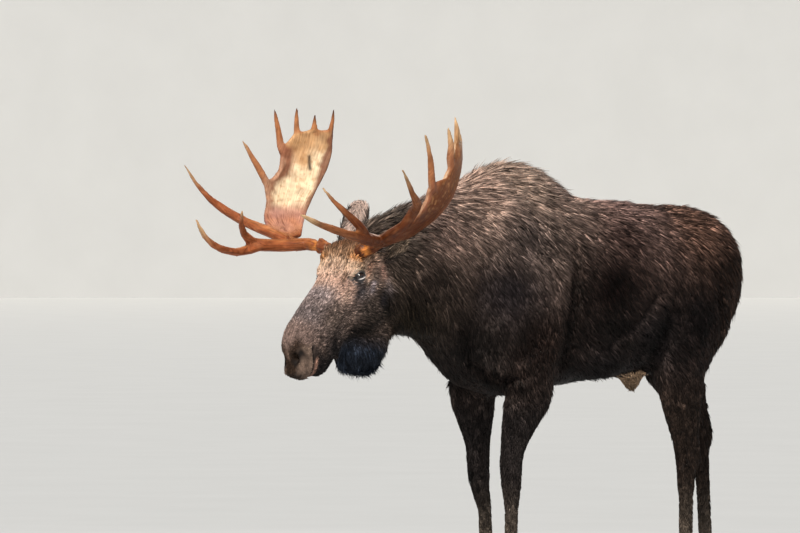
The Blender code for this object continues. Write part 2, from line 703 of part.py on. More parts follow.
def main():
    clear_scene()
    parts = new_collection("moose")
    cutters = new_collection("cutters", True)
    body = flesh(parts)
    legs = {}
    for label, x, y in foot_places():
        place, size = leg_block(label, 1 if y > 0 else -1)
        legs[label] = split_by_block(body, f"leg_{label}", place, size, parts, cutters)
    feet(legs, parts, cutters)
    tail_place = Matrix.Translation((rump_end + 0.040, 0, 1.455))
    split_by_block(body, "tail", tail_place, (0.075, 0.110, 0.190), parts, cutters)
    front, trunk = split_by_plane(body, (-0.245, 0, 1.4), (-1, 0, 0.30), "front", "trunk", parts)
    nape_normal = head_direction(0.92, 0, -0.38)
    head, neck = split_by_plane(front, along_face(-0.045, -0.15), nape_normal, "head", "neck", parts)
    bell_place = head_matrix((-0.137, 0, -0.465), radians(-28))
    split_by_block(head, "bell", bell_place, (0.40, 0.20, 0.20), parts, cutters)
    for side, label in ((1, "left"), (-1, "right")):
        seat(eye(f"eye_{label}", side, parts), [head], cutters)
        seat(ear(f"ear_{label}", side, *ear_pose[side], parts), [head, neck], cutters)
        seat(antler(label, side, parts, cutters), [head], cutters)
    centre_on_floor(parts, cutters)
    paint(parts)


main()
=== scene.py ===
from math import cos, pi, radians, sin, tau

import bmesh
import bpy
import numpy as np
from mathutils import Matrix, Vector
from mathutils.bvhtree import BVHTree
from mathutils.kdtree import KDTree


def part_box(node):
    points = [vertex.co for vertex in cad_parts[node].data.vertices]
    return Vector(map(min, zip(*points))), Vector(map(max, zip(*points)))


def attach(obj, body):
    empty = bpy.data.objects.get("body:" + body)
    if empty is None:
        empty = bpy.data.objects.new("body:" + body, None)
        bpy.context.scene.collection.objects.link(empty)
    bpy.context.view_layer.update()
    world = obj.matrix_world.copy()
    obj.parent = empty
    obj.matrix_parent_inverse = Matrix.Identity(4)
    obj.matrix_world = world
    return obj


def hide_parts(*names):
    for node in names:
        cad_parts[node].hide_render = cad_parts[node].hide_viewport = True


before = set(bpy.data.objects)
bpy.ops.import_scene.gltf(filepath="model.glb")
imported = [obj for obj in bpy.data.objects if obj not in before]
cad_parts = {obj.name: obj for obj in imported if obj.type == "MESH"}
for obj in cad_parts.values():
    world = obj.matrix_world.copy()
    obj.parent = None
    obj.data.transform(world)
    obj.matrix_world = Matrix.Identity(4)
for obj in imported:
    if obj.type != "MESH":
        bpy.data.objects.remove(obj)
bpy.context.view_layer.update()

# Where things are: the eye fixes the head, and the head fixes the rest

headYaw = radians(12)
faceSlope = radians(49)
eyeSpot = (0.013, 0.108, -0.107)
eyeRadius = 0.0205
ahead = np.array((-cos(headYaw), -sin(headYaw), 0.0))
leftward = np.array((sin(headYaw), -cos(headYaw), 0.0))
upward = np.array((0.0, 0.0, 1.0))
low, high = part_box("eye_left")
eyeMiddle = np.array((low + high) / 2)
headOrigin = eyeMiddle - ahead * eyeSpot[0] - leftward * eyeSpot[1] - upward * eyeSpot[2]
bodyMiddle = headOrigin - np.array((-0.870, -0.120, 1.510))
dice = np.random.default_rng(20240611)


def headPlace(forward, left, up):
    return headOrigin + ahead * forward + leftward * left + upward * up


def bodyX(points):
    return points[:, 0] - bodyMiddle[0]


def bodyY(points):
    return points[:, 1] - bodyMiddle[1]


# Places seen from the side: how far back from the middle of the hump, and how high
def sideView(points):
    return (points - bodyMiddle)[:, [0, 2]]


# Forward, left and up of each point from the head's origin
def headCoordinates(points):
    away = points - headOrigin
    return away @ ahead, away @ leftward, away @ upward


# Distance down the face, height off it, and left
def faceCoordinates(points):
    forward, left, up = headCoordinates(points)
    distance = forward * cos(faceSlope) - up * sin(faceSlope)
    return distance, forward * sin(faceSlope) + up * cos(faceSlope), left


def faceView(points):
    return np.stack(faceCoordinates(points)[:2], axis=1)


# Distance from the nearer eye's middle
def eyeDistance(points):
    middles = (headPlace(eyeSpot[0], side * eyeSpot[1], eyeSpot[2]) for side in (1, -1))
    return np.minimum(*(np.linalg.norm(points - middle, axis=1) for middle in middles))


def smoothStep(value, start, end):
    share = np.clip((value - start) / (end - start), 0, 1)
    return share * share * (3 - 2 * share)


# 1 from the second value to the third, with soft edges out to the first and the last
def between(value, first, second, third, last):
    return smoothStep(value, first, second) * (1 - smoothStep(value, third, last))


# 1 at 0, and falling away smoothly past that width
def fade(away, width, power=2):
    return np.exp(-(away / width) ** power)


def unit(vectors):
    return vectors / np.maximum(np.linalg.norm(vectors, axis=-1, keepdims=True), 1e-9)


def cellNoise(cells, seed):
    mixed = cells[..., 0] * 73856093 ^ cells[..., 1] * 19349663 ^ cells[..., 2] * 83492791
    mixed = (mixed ^ (seed * 2654435761)) & 0xFFFFFFFF
    mixed = ((mixed ^ (mixed >> 15)) * 2246822519) & 0xFFFFFFFF
    mixed = ((mixed ^ (mixed >> 13)) * 3266489917) & 0xFFFFFFFF
    return ((mixed ^ (mixed >> 16)) & 0xFFFFFF) / 0xFFFFFF


# Smooth noise from 0 to 1, whose lumps are of that size
def softNoise(points, size, seed):
    scaled = points / size
    cells = np.floor(scaled).astype(np.int64)
    share = scaled - cells
    share = share * share * (3 - 2 * share)
    total = np.zeros(len(points))
    for corner in np.ndindex(2, 2, 2):
        weight = np.prod(np.where(corner, share, 1 - share), axis=1)
        total += weight * cellNoise(cells + np.array(corner), seed)
    return total


# Distance from a segment, and the share of the way along it
def segmentDistance(points, start, end):
    start = np.array(start)
    span = np.array(end) - start
    share = np.clip((points - start) @ span / (span @ span), 0, 1)
    return np.linalg.norm(points - start - share[:, None] * span, axis=1), share


# Distance from a bent line of three points
def lineDistance(flat, line):
    return np.minimum(*(segmentDistance(flat, a, b)[0] for a, b in zip(line, line[1:])))


# How far inside a soft stroke each place is. The stroke thins out towards both ends.
def strokeShare(flat, start, end, width, ends):
    away, along = segmentDistance(flat, start, end)
    return fade(away, width) * np.sin(pi * np.clip(ends + (1 - 2 * ends) * along, 0, 1))


# The colours with that share of the mark over them
def painted(colour, share, mark):
    part = np.clip(share, 0, 1)[:, None]
    return colour * (1 - part) + np.array(mark) * part


# Meshes and arrays

def pointsOf(mesh):
    values = np.empty(len(mesh.vertices) * 3, np.float32)
    mesh.vertices.foreach_get("co", values)
    return values.reshape(-1, 3).astype(float)


def normalsOf(mesh):
    values = np.empty(len(mesh.vertices) * 3, np.float32)
    mesh.vertices.foreach_get("normal", values)
    return values.reshape(-1, 3).astype(float)


def setPoints(mesh, points):
    mesh.vertices.foreach_set("co", points.astype(np.float32).ravel())
    mesh.update()


def setColours(mesh, name, colours):
    attribute = mesh.color_attributes.new(name, "FLOAT_COLOR", "POINT")
    full = np.ones((len(colours), 4), np.float32)
    full[:, :3] = colours
    attribute.data.foreach_set("color", full.ravel())


def addObject(name, data):
    item = bpy.data.objects.new(name, data)
    bpy.context.scene.collection.objects.link(item)
    return item


def toMesh(name, bm):
    mesh = bpy.data.meshes.new(name)
    bm.to_mesh(mesh)
    bm.free()
    return mesh


def gridMesh(name, across, up, size=1.0, turn=None):
    bm = bmesh.new()
    bmesh.ops.create_grid(bm, x_segments=across, y_segments=up, size=size)
    if turn:
        bm.transform(turn)
    return toMesh(name, bm)


# Gives a sheet its thickness, with its front turned outwards
def thicken(mesh, outward, thickness, weld=False):
    bm = bmesh.new()
    bm.from_mesh(mesh)
    if weld:
        bmesh.ops.remove_doubles(bm, verts=bm.verts, dist=1e-6)
    bmesh.ops.recalc_face_normals(bm, faces=bm.faces)
    if sum(face.normal.dot(outward) for face in bm.faces) < 0:
        bmesh.ops.reverse_faces(bm, faces=bm.faces)
    bmesh.ops.solidify(bm, geom=bm.faces[:], thickness=thickness)
    bm.to_mesh(mesh)
    bm.free()
    mesh.update()


# A finished piece from a bmesh or a mesh
def newPiece(name, source, material, smooth=True):
    mesh = toMesh(name, source) if isinstance(source, bmesh.types.BMesh) else source
    piece = addObject(name, mesh)
    mesh.materials.clear()
    mesh.materials.append(material)
    if smooth:
        mesh.shade_smooth()
    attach(piece, "root")
    return piece


# The welded copies of these nodes in one bmesh, each pushed out a little so that they overlap
def nodesAsOne(names, push):
    whole = bmesh.new()
    for name in names:
        part = bmesh.new()
        part.from_mesh(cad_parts[name].data)
        bmesh.ops.remove_doubles(part, verts=part.verts, dist=1e-5)
        bmesh.ops.recalc_face_normals(part, faces=part.faces)
        for vertex in part.verts:
            vertex.co += vertex.normal * push
        copy = toMesh("copy", part)
        whole.from_mesh(copy)
        bpy.data.meshes.remove(copy)
    return whole


# One closed skin round everything in the bmesh
def remeshed(source, voxel):
    item = addObject("remeshed", toMesh("remeshed", source))
    wrap = item.modifiers.new("wrap", "REMESH")
    wrap.mode = "VOXEL"
    wrap.voxel_size = voxel
    graph = bpy.context.evaluated_depsgraph_get()
    result = bpy.data.meshes.new_from_object(item.evaluated_get(graph))
    bpy.data.objects.remove(item)
    return result


def edgesOf(mesh):
    values = np.empty(len(mesh.edges) * 2, np.int32)
    mesh.edges.foreach_get("vertices", values)
    return values.reshape(-1, 2)


# Smooths the mesh without shrinking it much
def relaxed(mesh, steps, shrink=0.5, grow=-0.53, only=None):
    points = pointsOf(mesh)
    edges = edgesOf(mesh)
    first, second = edges[:, 0], edges[:, 1]
    count = len(points)
    valence = np.bincount(first, minlength=count) + np.bincount(second, minlength=count)
    weight = np.ones(count) if only is None else only
    for step in range(steps * 2):
        mean = np.empty_like(points)
        for axis in range(3):
            mean[:, axis] = np.bincount(first, points[second, axis], count)
            mean[:, axis] += np.bincount(second, points[first, axis], count)
        move = mean / valence[:, None] - points
        points += move * ((shrink if step % 2 == 0 else grow) * weight)[:, None]
    setPoints(mesh, points)


# Splits the edges whose ends are both inside
def refined(mesh, inside):
    points = pointsOf(mesh)
    chosen = inside(points)
    bm = bmesh.new()
    bm.from_mesh(mesh)
    bm.verts.ensure_lookup_table()
    edges = [edge for edge in bm.edges if all(chosen[end.index] for end in edge.verts)]
    bmesh.ops.subdivide_edges(bm, edges=edges, cuts=1, use_grid_fill=True)
    bmesh.ops.triangulate(bm, faces=[face for face in bm.faces if len(face.verts) > 4])
    bm.to_mesh(mesh)
    bm.free()
    mesh.update()


# Materials

def newMaterial(name):
    material = bpy.data.materials.new(name)
    material.use_nodes = True
    nodes = material.node_tree.nodes
    return material, nodes, material.node_tree.links, nodes["Principled BSDF"]


def addNode(nodes, kind, **inputs):
    node = nodes.new(kind)
    for name, value in inputs.items():
        node.inputs[name.replace("_", " ")].default_value = value
    return node


def objectNoise(nodes, links, scale, detail=4.0, stretch=(1, 1, 1)):
    place = nodes.new("ShaderNodeTexCoord")
    mapping = addNode(nodes, "ShaderNodeMapping", Scale=stretch)
    noise = addNode(nodes, "ShaderNodeTexNoise", Scale=scale, Detail=detail)
    links.new(place.outputs["Object"], mapping.inputs["Vector"])
    links.new(mapping.outputs["Vector"], noise.inputs["Vector"])
    return noise


def addBump(nodes, links, shader, height, strength, distance):
    bump = addNode(nodes, "ShaderNodeBump", Strength=strength, Distance=distance)
    links.new(height, bump.inputs["Height"])
    links.new(bump.outputs["Normal"], shader.inputs["Normal"])
    return bump


def colourRamp(nodes, links, value, stops):
    ramp = nodes.new("ShaderNodeValToRGB")
    while len(ramp.color_ramp.elements) < len(stops):
        ramp.color_ramp.elements.new(0.5)
    for element, (place, colour) in zip(ramp.color_ramp.elements, stops):
        element.position = place
        element.color = (*colour, 1)
    links.new(value, ramp.inputs["Fac"])
    return ramp


def mixColours(nodes, links, share, first, second, mode="MIX"):
    mix = nodes.new("ShaderNodeMix")
    mix.data_type = "RGBA"
    mix.blend_type = mode
    for value, socket in ((share, mix.inputs[0]), (first, mix.inputs[6]), (second, mix.inputs[7])):
        if isinstance(value, bpy.types.NodeSocket):
            links.new(value, socket)
        else:
            socket.default_value = value if isinstance(value, float) else (*value, 1)
    return mix.outputs[2]


# The colour made darker and lighter by a noise
def mottled(nodes, links, colour, noise, stops):
    shade = colourRamp(nodes, links, noise, stops)
    return mixColours(nodes, links, 1.0, colour, shade.outputs["Color"], "MULTIPLY")


def coloured(nodes, name):
    attribute = nodes.new("ShaderNodeAttribute")
    attribute.attribute_name = name
    return attribute.outputs["Color"]


# Short flat hair over the hide: the markings, mottled, with a fine hairy grain
def skinMaterial():
    material, nodes, links, shader = newMaterial("hide")
    mottle = objectNoise(nodes, links, 38, 5)
    mixed = mottled(nodes, links, coloured(nodes, "markingsAndPaintedLight"), mottle.outputs["Fac"],
                    [(0.3, (0.62, 0.60, 0.60)), (0.7, (1.30, 1.27, 1.25))])
    links.new(mixed, shader.inputs["Base Color"])
    shader.inputs["Roughness"].default_value = 0.62
    shader.inputs["Specular IOR Level"].default_value = 0.14
    grain = objectNoise(nodes, links, 420, 3, (1.0, 1.0, 0.35))
    addBump(nodes, links, shader, grain.outputs["Fac"], 0.55, 0.002)
    return material


def furMaterial(name, roughness):
    material, nodes, links, shader = newMaterial(name)
    grain = objectNoise(nodes, links, 260, 2)
    mixed = mottled(nodes, links, coloured(nodes, "markingsAndPaintedLight"), grain.outputs["Fac"],
                    [(0.3, (0.80, 0.80, 0.80)), (0.7, (1.18, 1.17, 1.16))])
    links.new(mixed, shader.inputs["Base Color"])
    shader.inputs["Roughness"].default_value = roughness
    shader.inputs["Specular IOR Level"].default_value = 0.09
    addBump(nodes, links, shader, grain.outputs["Fac"], 0.2, 0.001)
    return material


# The coat: what grows where. Places are in the body's own frame, from the middle of the hump.

coat = {
    # x, z, slope of the hair below level, lift, length, width, depth, colour
    "crest": (-0.62, 1.62, 14, 20, 0.062, 0.0066, 0.020, (0.085, 0.064, 0.050)),
    "mane": (-0.25, 1.74, 32, 20, 0.070, 0.0062, 0.024, (0.460, 0.315, 0.250)),
    "hump": (0.00, 1.84, 34, 22, 0.074, 0.0062, 0.026, (0.520, 0.372, 0.290)),
    "withers": (0.22, 1.78, 34, 16, 0.064, 0.0060, 0.020, (0.300, 0.205, 0.165)),
    "neckTop": (-0.42, 1.60, 44, 12, 0.060, 0.0060, 0.018, (0.220, 0.146, 0.118)),
    "neckSide": (-0.45, 1.40, 56, 10, 0.060, 0.0062, 0.016, (0.030, 0.021, 0.017)),
    "throat": (-0.55, 1.24, 70, 12, 0.052, 0.0060, 0.014, (0.018, 0.013, 0.008)),
    "shoulderTop": (-0.05, 1.58, 48, 10, 0.058, 0.0060, 0.018, (0.085, 0.062, 0.054)),
    "shoulder": (-0.14, 1.36, 62, 7, 0.044, 0.0060, 0.012, (0.026, 0.020, 0.021)),
    "breast": (-0.27, 1.12, 76, 9, 0.044, 0.0060, 0.012, (0.013, 0.010, 0.009)),
    "upperArm": (0.02, 1.14, 78, 7, 0.036, 0.0056, 0.010, (0.012, 0.007, 0.0055)),
    "back": (0.48, 1.70, 34, 12, 0.054, 0.0060, 0.015, (0.260, 0.160, 0.135)),
    "ribsTop": (0.42, 1.57, 48, 10, 0.056, 0.0062, 0.015, (0.050, 0.029, 0.024)),
    "ribs": (0.34, 1.38, 58, 9, 0.050, 0.0058, 0.013, (0.0075, 0.0036, 0.0030)),
    "side": (0.34, 1.18, 54, 8, 0.044, 0.0058, 0.012, (0.007, 0.005, 0.0045)),
    "belly": (0.32, 1.02, 48, 15, 0.050, 0.0060, 0.016, (0.010, 0.008, 0.008)),
    "flank": (0.58, 1.16, 36, 8, 0.040, 0.0058, 0.010, (0.010, 0.008, 0.008)),
    "croup": (0.85, 1.63, 38, 12, 0.054, 0.0060, 0.014, (0.108, 0.058, 0.041)),
    "rump": (0.98, 1.42, 60, 10, 0.046, 0.0058, 0.012, (0.019, 0.011, 0.008)),
    "thigh": (0.80, 1.24, 66, 6, 0.036, 0.0056, 0.009, (0.005, 0.0035, 0.0035)),
    "buttock": (1.04, 1.22, 76, 8, 0.040, 0.0058, 0.010, (0.020, 0.012, 0.009)),
    "sheath": (0.64, 0.985, 50, 8, 0.016, 0.0050, 0.002, (0.600, 0.400, 0.250)),
}
coatNames = list(coat)
coatSpots = np.array([row[:2] for row in coat.values()])
coatValues = np.array([row[2:7] + row[7] for row in coat.values()])
betweenLegs = 0.45  # x that parts the fore legs from the hind legs


# Slope, lift, length, width, depth and colour of the coat at each point of the body
def bodyCoat(points):
    away = np.linalg.norm(sideView(points)[:, None, :] - coatSpots[None, :, :], axis=2)
    weight = 1 / (away + 0.035) ** 3.4
    sheath = coatNames.index("sheath")
    under = (away[:, sheath] < 0.11) & (np.abs(bodyY(points)) < 0.075)
    weight[:, sheath] *= np.where(under, 9.0, 0.0)
    weight /= weight.sum(axis=1, keepdims=True)
    return weight @ coatValues


face = {
    # distance down the face, height off it: slope in the head, lift, length, width, depth, colour
    "poll": (-0.08, -0.03, 160, 20, 0.046, 0.0056, 0.012, (0.110, 0.078, 0.060)),
    "tuft": (-0.010, 0.01, 150, 22, 0.034, 0.0048, 0.009, (0.150, 0.066, 0.032)),
    "parting": (0.040, 0.012, 150, 18, 0.028, 0.0044, 0.008, (0.200, 0.112, 0.062)),
    "forehead": (0.105, 0.012, 150, 13, 0.020, 0.0038, 0.006, (0.760, 0.525, 0.400)),
    "brow": (0.068, -0.024, 150, 10, 0.016, 0.0036, 0.005, (0.820, 0.580, 0.410)),
    "temple": (0.00, -0.12, 178, 10, 0.024, 0.0042, 0.006, (0.165, 0.118, 0.095)),
    "tearLine": (0.145, -0.040, 160, 8, 0.014, 0.0032, 0.004, (0.560, 0.355, 0.280)),
    "underEye": (0.13, -0.11, 165, 8, 0.016, 0.0034, 0.004, (0.085, 0.070, 0.070)),
    "bridge": (0.24, 0.015, 138, 8, 0.014, 0.0032, 0.004, (0.250, 0.198, 0.192)),
    "bridgeLow": (0.34, 0.01, 138, 8, 0.013, 0.0031, 0.004, (0.150, 0.118, 0.114)),
    "noseSide": (0.30, -0.09, 148, 8, 0.013, 0.0030, 0.0035, (0.098, 0.071, 0.059)),
    "nose": (0.44, -0.01, 140, 8, 0.010, 0.0026, 0.0020, (0.200, 0.138, 0.118)),
    "muzzle": (0.51, -0.09, 145, 8, 0.007, 0.0026, 0.0015, (0.175, 0.116, 0.088)),
    "lowerLip": (0.45, -0.20, 150, 12, 0.012, 0.0030, 0.003, (0.012, 0.010, 0.010)),
    "chin": (0.38, -0.18, 160, 12, 0.020, 0.0036, 0.004, (0.020, 0.016, 0.015)),
    "cheek": (0.15, -0.19, 198, 9, 0.026, 0.0042, 0.006, (0.054, 0.040, 0.033)),
    "jaw": (0.24, -0.23, 195, 10, 0.028, 0.0044, 0.006, (0.011, 0.008, 0.007)),
    "jawAngle": (0.05, -0.25, 208, 12, 0.042, 0.0054, 0.011, (0.008, 0.006, 0.005)),
}
faceSpots = np.array([row[:2] for row in face.values()])
faceValues = np.array([row[2:7] + row[7] for row in face.values()])


def faceCoat(points):
    away = np.linalg.norm(faceView(points)[:, None, :] - faceSpots[None, :, :], axis=2)
    weight = 1 / (away + 0.012) ** 3.2
    weight /= weight.sum(axis=1, keepdims=True)
    return weight @ faceValues


# 1 on the head, 0 on the neck and behind it
def headShare(points):
    forward, _, up = headCoordinates(points)
    nape = forward * 0.92 - up * 0.38
    return smoothStep(nape, -0.14, -0.03) * (forward > -0.45)


def bellShare(points):
    forward, left, up = headCoordinates(points)
    inside = smoothStep(-up, 0.33, 0.39) * smoothStep(-forward, -0.075, -0.03) * (forward > -0.33)
    return inside * (faceCoordinates(points)[0] < 0.36) * (np.abs(left) < 0.09)


def legShare(points):
    z = points[:, 2]
    return 1 - np.where(bodyX(points) < betweenLegs, smoothStep(z, 0.80, 0.98), smoothStep(z, 0.85, 1.08))


legValues = {
    "fore": (86, 6, 0.026, 0.0054, 0.008, (0.018, 0.014, 0.013)),
    "hind": (84, 6, 0.026, 0.0054, 0.008, (0.020, 0.013, 0.010)),
    "low": (88, 6, 0.020, 0.0050, 0.006, (0.090, 0.070, 0.054)),
    "bell": (80, 9, 0.042, 0.0056, 0.013, (0.015, 0.019, 0.028)),
}


# Direction, lift, length, width, depth and colour of the coat, anywhere on the animal
def coatAt(points):
    body = bodyCoat(points)
    head = faceCoat(points)
    onHead = headShare(points)[:, None]
    onLeg = legShare(points)[:, None] * (1 - onHead)
    onBell = bellShare(points)[:, None]
    low = (1 - smoothStep(points[:, 2], 0.25, 0.62))[:, None]
    fore = (bodyX(points) < betweenLegs)[:, None]

    def table(name):
        return np.array(legValues[name][:5] + legValues[name][5])

    leg = np.where(fore, table("fore"), table("hind")) * (1 - low) + table("low") * low
    values = body * (1 - onLeg) + leg * onLeg
    mixed = values * (1 - onHead) + head * onHead
    mixed = mixed * (1 - onBell) + table("bell") * onBell
    # The way the hair lies: back and down on the body, up and back on the face
    slope = np.radians(values[:, 0])
    lie = np.stack([np.cos(slope), np.zeros(len(slope)), -np.sin(slope)], axis=1)
    turn = np.radians(head[:, 0])
    faceLie = np.cos(turn)[:, None] * ahead + np.sin(turn)[:, None] * upward
    lie = lie * (1 - onHead) + faceLie * onHead
    bellLie = np.array((0.25, 0.0, -1.0))
    lie = unit(lie * (1 - onBell) + bellLie * onBell)
    return lie, mixed[:, 1], mixed[:, 2], mixed[:, 3], mixed[:, 4], mixed[:, 5:8]


faceMarksWithPaintedSheen = [
    # start and end down the face and off it, width, share, colour
    ((0.104, -0.046), (0.124, -0.027), 0.0060, 0.90, (0.014, 0.010, 0.009)),
    ((0.124, -0.027), (0.150, -0.050), 0.0050, 0.65, (0.030, 0.026, 0.028)),
    ((0.150, -0.050), (0.200, -0.072), 0.0120, 0.45, (0.300, 0.210, 0.160)),
    ((0.110, -0.100), (0.165, -0.100), 0.0110, 0.55, (0.024, 0.024, 0.030)),
    ((0.030, -0.205), (0.085, -0.220), 0.0180, 0.65, (0.016, 0.017, 0.023)),
    ((0.015, -0.072), (0.050, -0.082), 0.0170, 0.80, (0.420, 0.235, 0.165)),
    ((-0.020, -0.115), (-0.008, -0.150), 0.0240, 0.80, (0.640, 0.370, 0.280)),
    # a painted highlight: the lilac sheen on the cheek below and behind the eye
    ((0.060, -0.135), (0.088, -0.148), 0.0130, 0.80, (0.540, 0.445, 0.460)),
    ((0.090, -0.265), (0.200, -0.240), 0.0300, 0.65, (0.010, 0.008, 0.006)),
    ((-0.010, -0.190), (0.005, -0.220), 0.0200, 0.60, (0.200, 0.165, 0.175)),
    ((0.240, -0.055), (0.330, -0.075), 0.0220, 0.45, (0.125, 0.092, 0.078)),
    ((0.102, -0.078), (0.126, -0.074), 0.0130, 0.85, (0.050, 0.045, 0.048)),
    ((0.018, -0.014), (0.042, -0.012), 0.0130, 0.80, (0.560, 0.215, 0.050)),
]


faceLook = {"streak": (0.125, 0.064, 0.032), "hollow": (0.027, 0.015, 0.009), "pitShade": (0.008, 0.005, 0.0035),
            "lip": (0.185, 0.128, 0.098), "mouth": (0.008, 0.006, 0.006), "lowerLip": (0.010, 0.009, 0.010),
            "gum": (0.330, 0.185, 0.135), "nostrilShade": (0.010, 0.006, 0.0045), "lidSkin": (0.050, 0.046, 0.052)}


# The dark nostril hollow, the tear lines, and the patches under and behind the eye, one of them a painted
# highlight, with painted shade in the nostril pits and along the mouth
def paintFaceMarksAndLight(points, colour):
    distance, height, left = faceCoordinates(points)
    onHead = headShare(points)
    flat = faceView(points)
    sides = smoothStep(np.abs(left), 0.045, 0.065) * onHead
    for start, end, width, share, mark in faceMarksWithPaintedSheen:
        colour = painted(colour, share * fade(segmentDistance(flat, start, end)[0], width) * sides, mark)
    # Brown streaks in the hair of the forehead
    lines = softNoise(np.stack([left / 0.007, distance / 0.030, height / 0.012], axis=1), 1.0, 62)
    region = between(distance, -0.08, -0.02, 0.13, 0.20) * onHead
    region = region * (1 - smoothStep(-height, 0.05, 0.09))
    colour = painted(colour, 0.58 * smoothStep(lines, 0.50, 0.66) * region, faceLook["streak"])
    # The dark hollow round the nostrils, and painted shade in their pits
    ragged = 0.8 + 0.5 * softNoise(points, 0.012, 61)
    front = smoothStep(height, -0.145, -0.115)
    hollow = fade(nostrilDistance(distance, left) * ragged, 0.036, 4) * front
    band = fade(left + 0.010, 0.034, 4) * smoothStep(distance, 0.500, 0.525) * smoothStep(-height, 0.05, 0.08)
    dark = np.clip(hollow * 0.95 + band * 0.75 * ragged, 0, 0.95) * onHead
    colour = painted(colour, dark, faceLook["hollow"])
    # Painted shade deep in the nostril pits
    pitShade = 0.85 * fade(pitDistance(distance, left), 0.020) * front * onHead
    colour = painted(colour, pitShade, faceLook["pitShade"])
    colour = painted(colour, lipPatch(points) * (1 - pitShade), faceLook["lip"])
    # The mouth line, darkened as painted shade, and the pale edge of the lower lip behind it
    mouth = lineDistance(flat, mouthLine)
    lip = fade(mouth, 0.0085) * onHead * smoothStep(distance, 0.40, 0.43)
    colour = painted(colour, lip, faceLook["mouth"])
    behind = smoothStep(-overMouth(distance, height), 0.0, 0.004) * onHead
    lower = smoothStep(distance, 0.43, 0.45) * behind * (1 - smoothStep(mouth, 0.050, 0.070)) * (1 - lip)
    colour = painted(colour, 0.75 * lower, faceLook["lowerLip"])
    gum = fade(mouth - 0.015, 0.0070) * smoothStep(-height, 0.115, 0.130) * smoothStep(distance, 0.45, 0.47)
    return painted(colour, 0.95 * gum * behind, faceLook["gum"])


# The smooth side of the upper lip, between the nostril and the mouth
def lipPatch(points):
    distance, height, left = faceCoordinates(points)
    away, _ = segmentDistance(faceView(points), (0.490, -0.075), (0.545, -0.120))
    patch = (1 - smoothStep(away, 0.026, 0.046)) * smoothStep(overMouth(distance, height), 0.002, 0.010)
    return patch * smoothStep(np.abs(left), 0.022, 0.040) * 0.85 * headShare(points)


paintedLightStreaks = [
    # start and end of each soft streak (x, z), width, tone: above 1 a painted highlight, below 1 painted
    # shade
    ((0.180, 1.56), (0.160, 1.06), 0.036, 0.40),
    ((0.240, 1.36), (0.440, 1.36), 0.100, 0.60),
    ((0.050, 1.46), (0.060, 1.16), 0.045, 1.45),
    ((-0.170, 1.46), (-0.120, 1.30), 0.075, 0.90),
    ((0.180, 1.095), (0.400, 1.130), 0.030, 2.30),
    ((0.400, 1.130), (0.540, 1.220), 0.026, 2.30),
    ((0.540, 1.220), (0.600, 1.330), 0.022, 1.70),
    ((0.570, 1.110), (0.650, 1.250), 0.042, 0.35),
    ((0.660, 1.120), (0.684, 0.900), 0.014, 2.60),
    ((0.900, 1.460), (0.930, 1.200), 0.022, 0.50),
    ((0.990, 1.400), (0.990, 1.120), 0.030, 1.70),
    ((-0.330, 1.260), (-0.270, 1.080), 0.040, 0.55),
    ((-0.250, 1.075), (-0.150, 1.040), 0.020, 2.20),
    ((-0.150, 1.040), (-0.050, 1.026), 0.020, 2.20),
    ((-0.230, 1.005), (-0.140, 0.965), 0.022, 0.40),
    ((-0.140, 0.965), (-0.040, 0.955), 0.022, 0.40),
    ((-0.080, 1.240), (-0.030, 1.090), 0.040, 0.65),
    ((-0.600, 1.440), (-0.520, 1.260), 0.050, 0.60),
]


# Lighter and darker runs of the coat: painted highlights over the muscles and along the belly, and painted
# shade in the hollows and creases of the sides
def paintedBodyLight(points):
    flat = sideView(points)
    shade = sum(np.log(tone) * strokeShare(flat, start, end, width, 0.18)
                for start, end, width, tone in paintedLightStreaks)
    side = smoothStep(np.abs(bodyY(points)), 0.05, 0.12) * (1 - headShare(points))
    return np.exp(np.clip(shade, -1.1, 1.1) * side)


# The coat's colour: the zones, lighter along the top, with soft blotches and streaks, painted shade on the
# undersides and in the creases, and the painted highlights and shade of the body streaks
def markingsAndPaintedLight(points, normals):
    colour = paintFaceMarksAndLight(points, coatAt(points)[-1])
    blotch = softNoise(points, 0.11, 3) * 0.5 + softNoise(points, 0.035, 4) * 0.5
    fine = softNoise(points * np.array((1, 1, 0.55)), 0.014, 5)
    factor = 0.62 + 0.5 * blotch + 0.32 * fine
    # Painted shade: faces turned down are darker, and so are the creases; the body streaks add painted
    # highlights and painted shade
    below = smoothStep(-normals[:, 2], 0.35, 0.95)
    factor = factor * (1 - 0.35 * below * (points[:, 2] > 0.8))
    factor = factor * (1 - 0.40 * np.clip(creaseShare(points), 0, 1)) * paintedBodyLight(points)
    return colour * factor[:, None]


# Skin

fleshNodes = ["trunk", "neck", "head", "bell", "tail", "leg_fore_left", "leg_fore_right",
              "leg_hind_left", "leg_hind_right"]
skinShape = {"voxel": 0.0125, "push": 0.0015, "smoothing": 14, "nostrilDepth": 0.024,
             "mouthDepth": 0.011, "creaseDepth": 0.026, "sheathHang": 0.034}
nostrilLine = [(0.498, 0.053), (0.516, 0.039), (0.534, 0.023)]
nostrilTurn = 0.016
nostrilPit = (0.526, 0.031)
mouthLine = [(0.545, -0.170), (0.490, -0.121), (0.452, -0.078)]


# The muzzle is turned a little, so that the right nostril sits further round its side
def nostrilAcross(left):
    return np.where(left > 0, left, -left - nostrilTurn)


def nostrilDistance(distance, left):
    return lineDistance(np.stack([distance, nostrilAcross(left)], axis=1), nostrilLine)


def pitDistance(distance, left):
    return np.hypot(distance - nostrilPit[0], nostrilAcross(left) - nostrilPit[1])


# Above 0 on the upper lip's side of the mouth
def overMouth(distance, height):
    return distance + height * 0.98 - 0.372


def nearHead(points):
    distance, height, left = faceCoordinates(points)
    return (distance > -0.02) & (np.abs(left) < 0.16) & (height > -0.30) & (distance < 0.62)


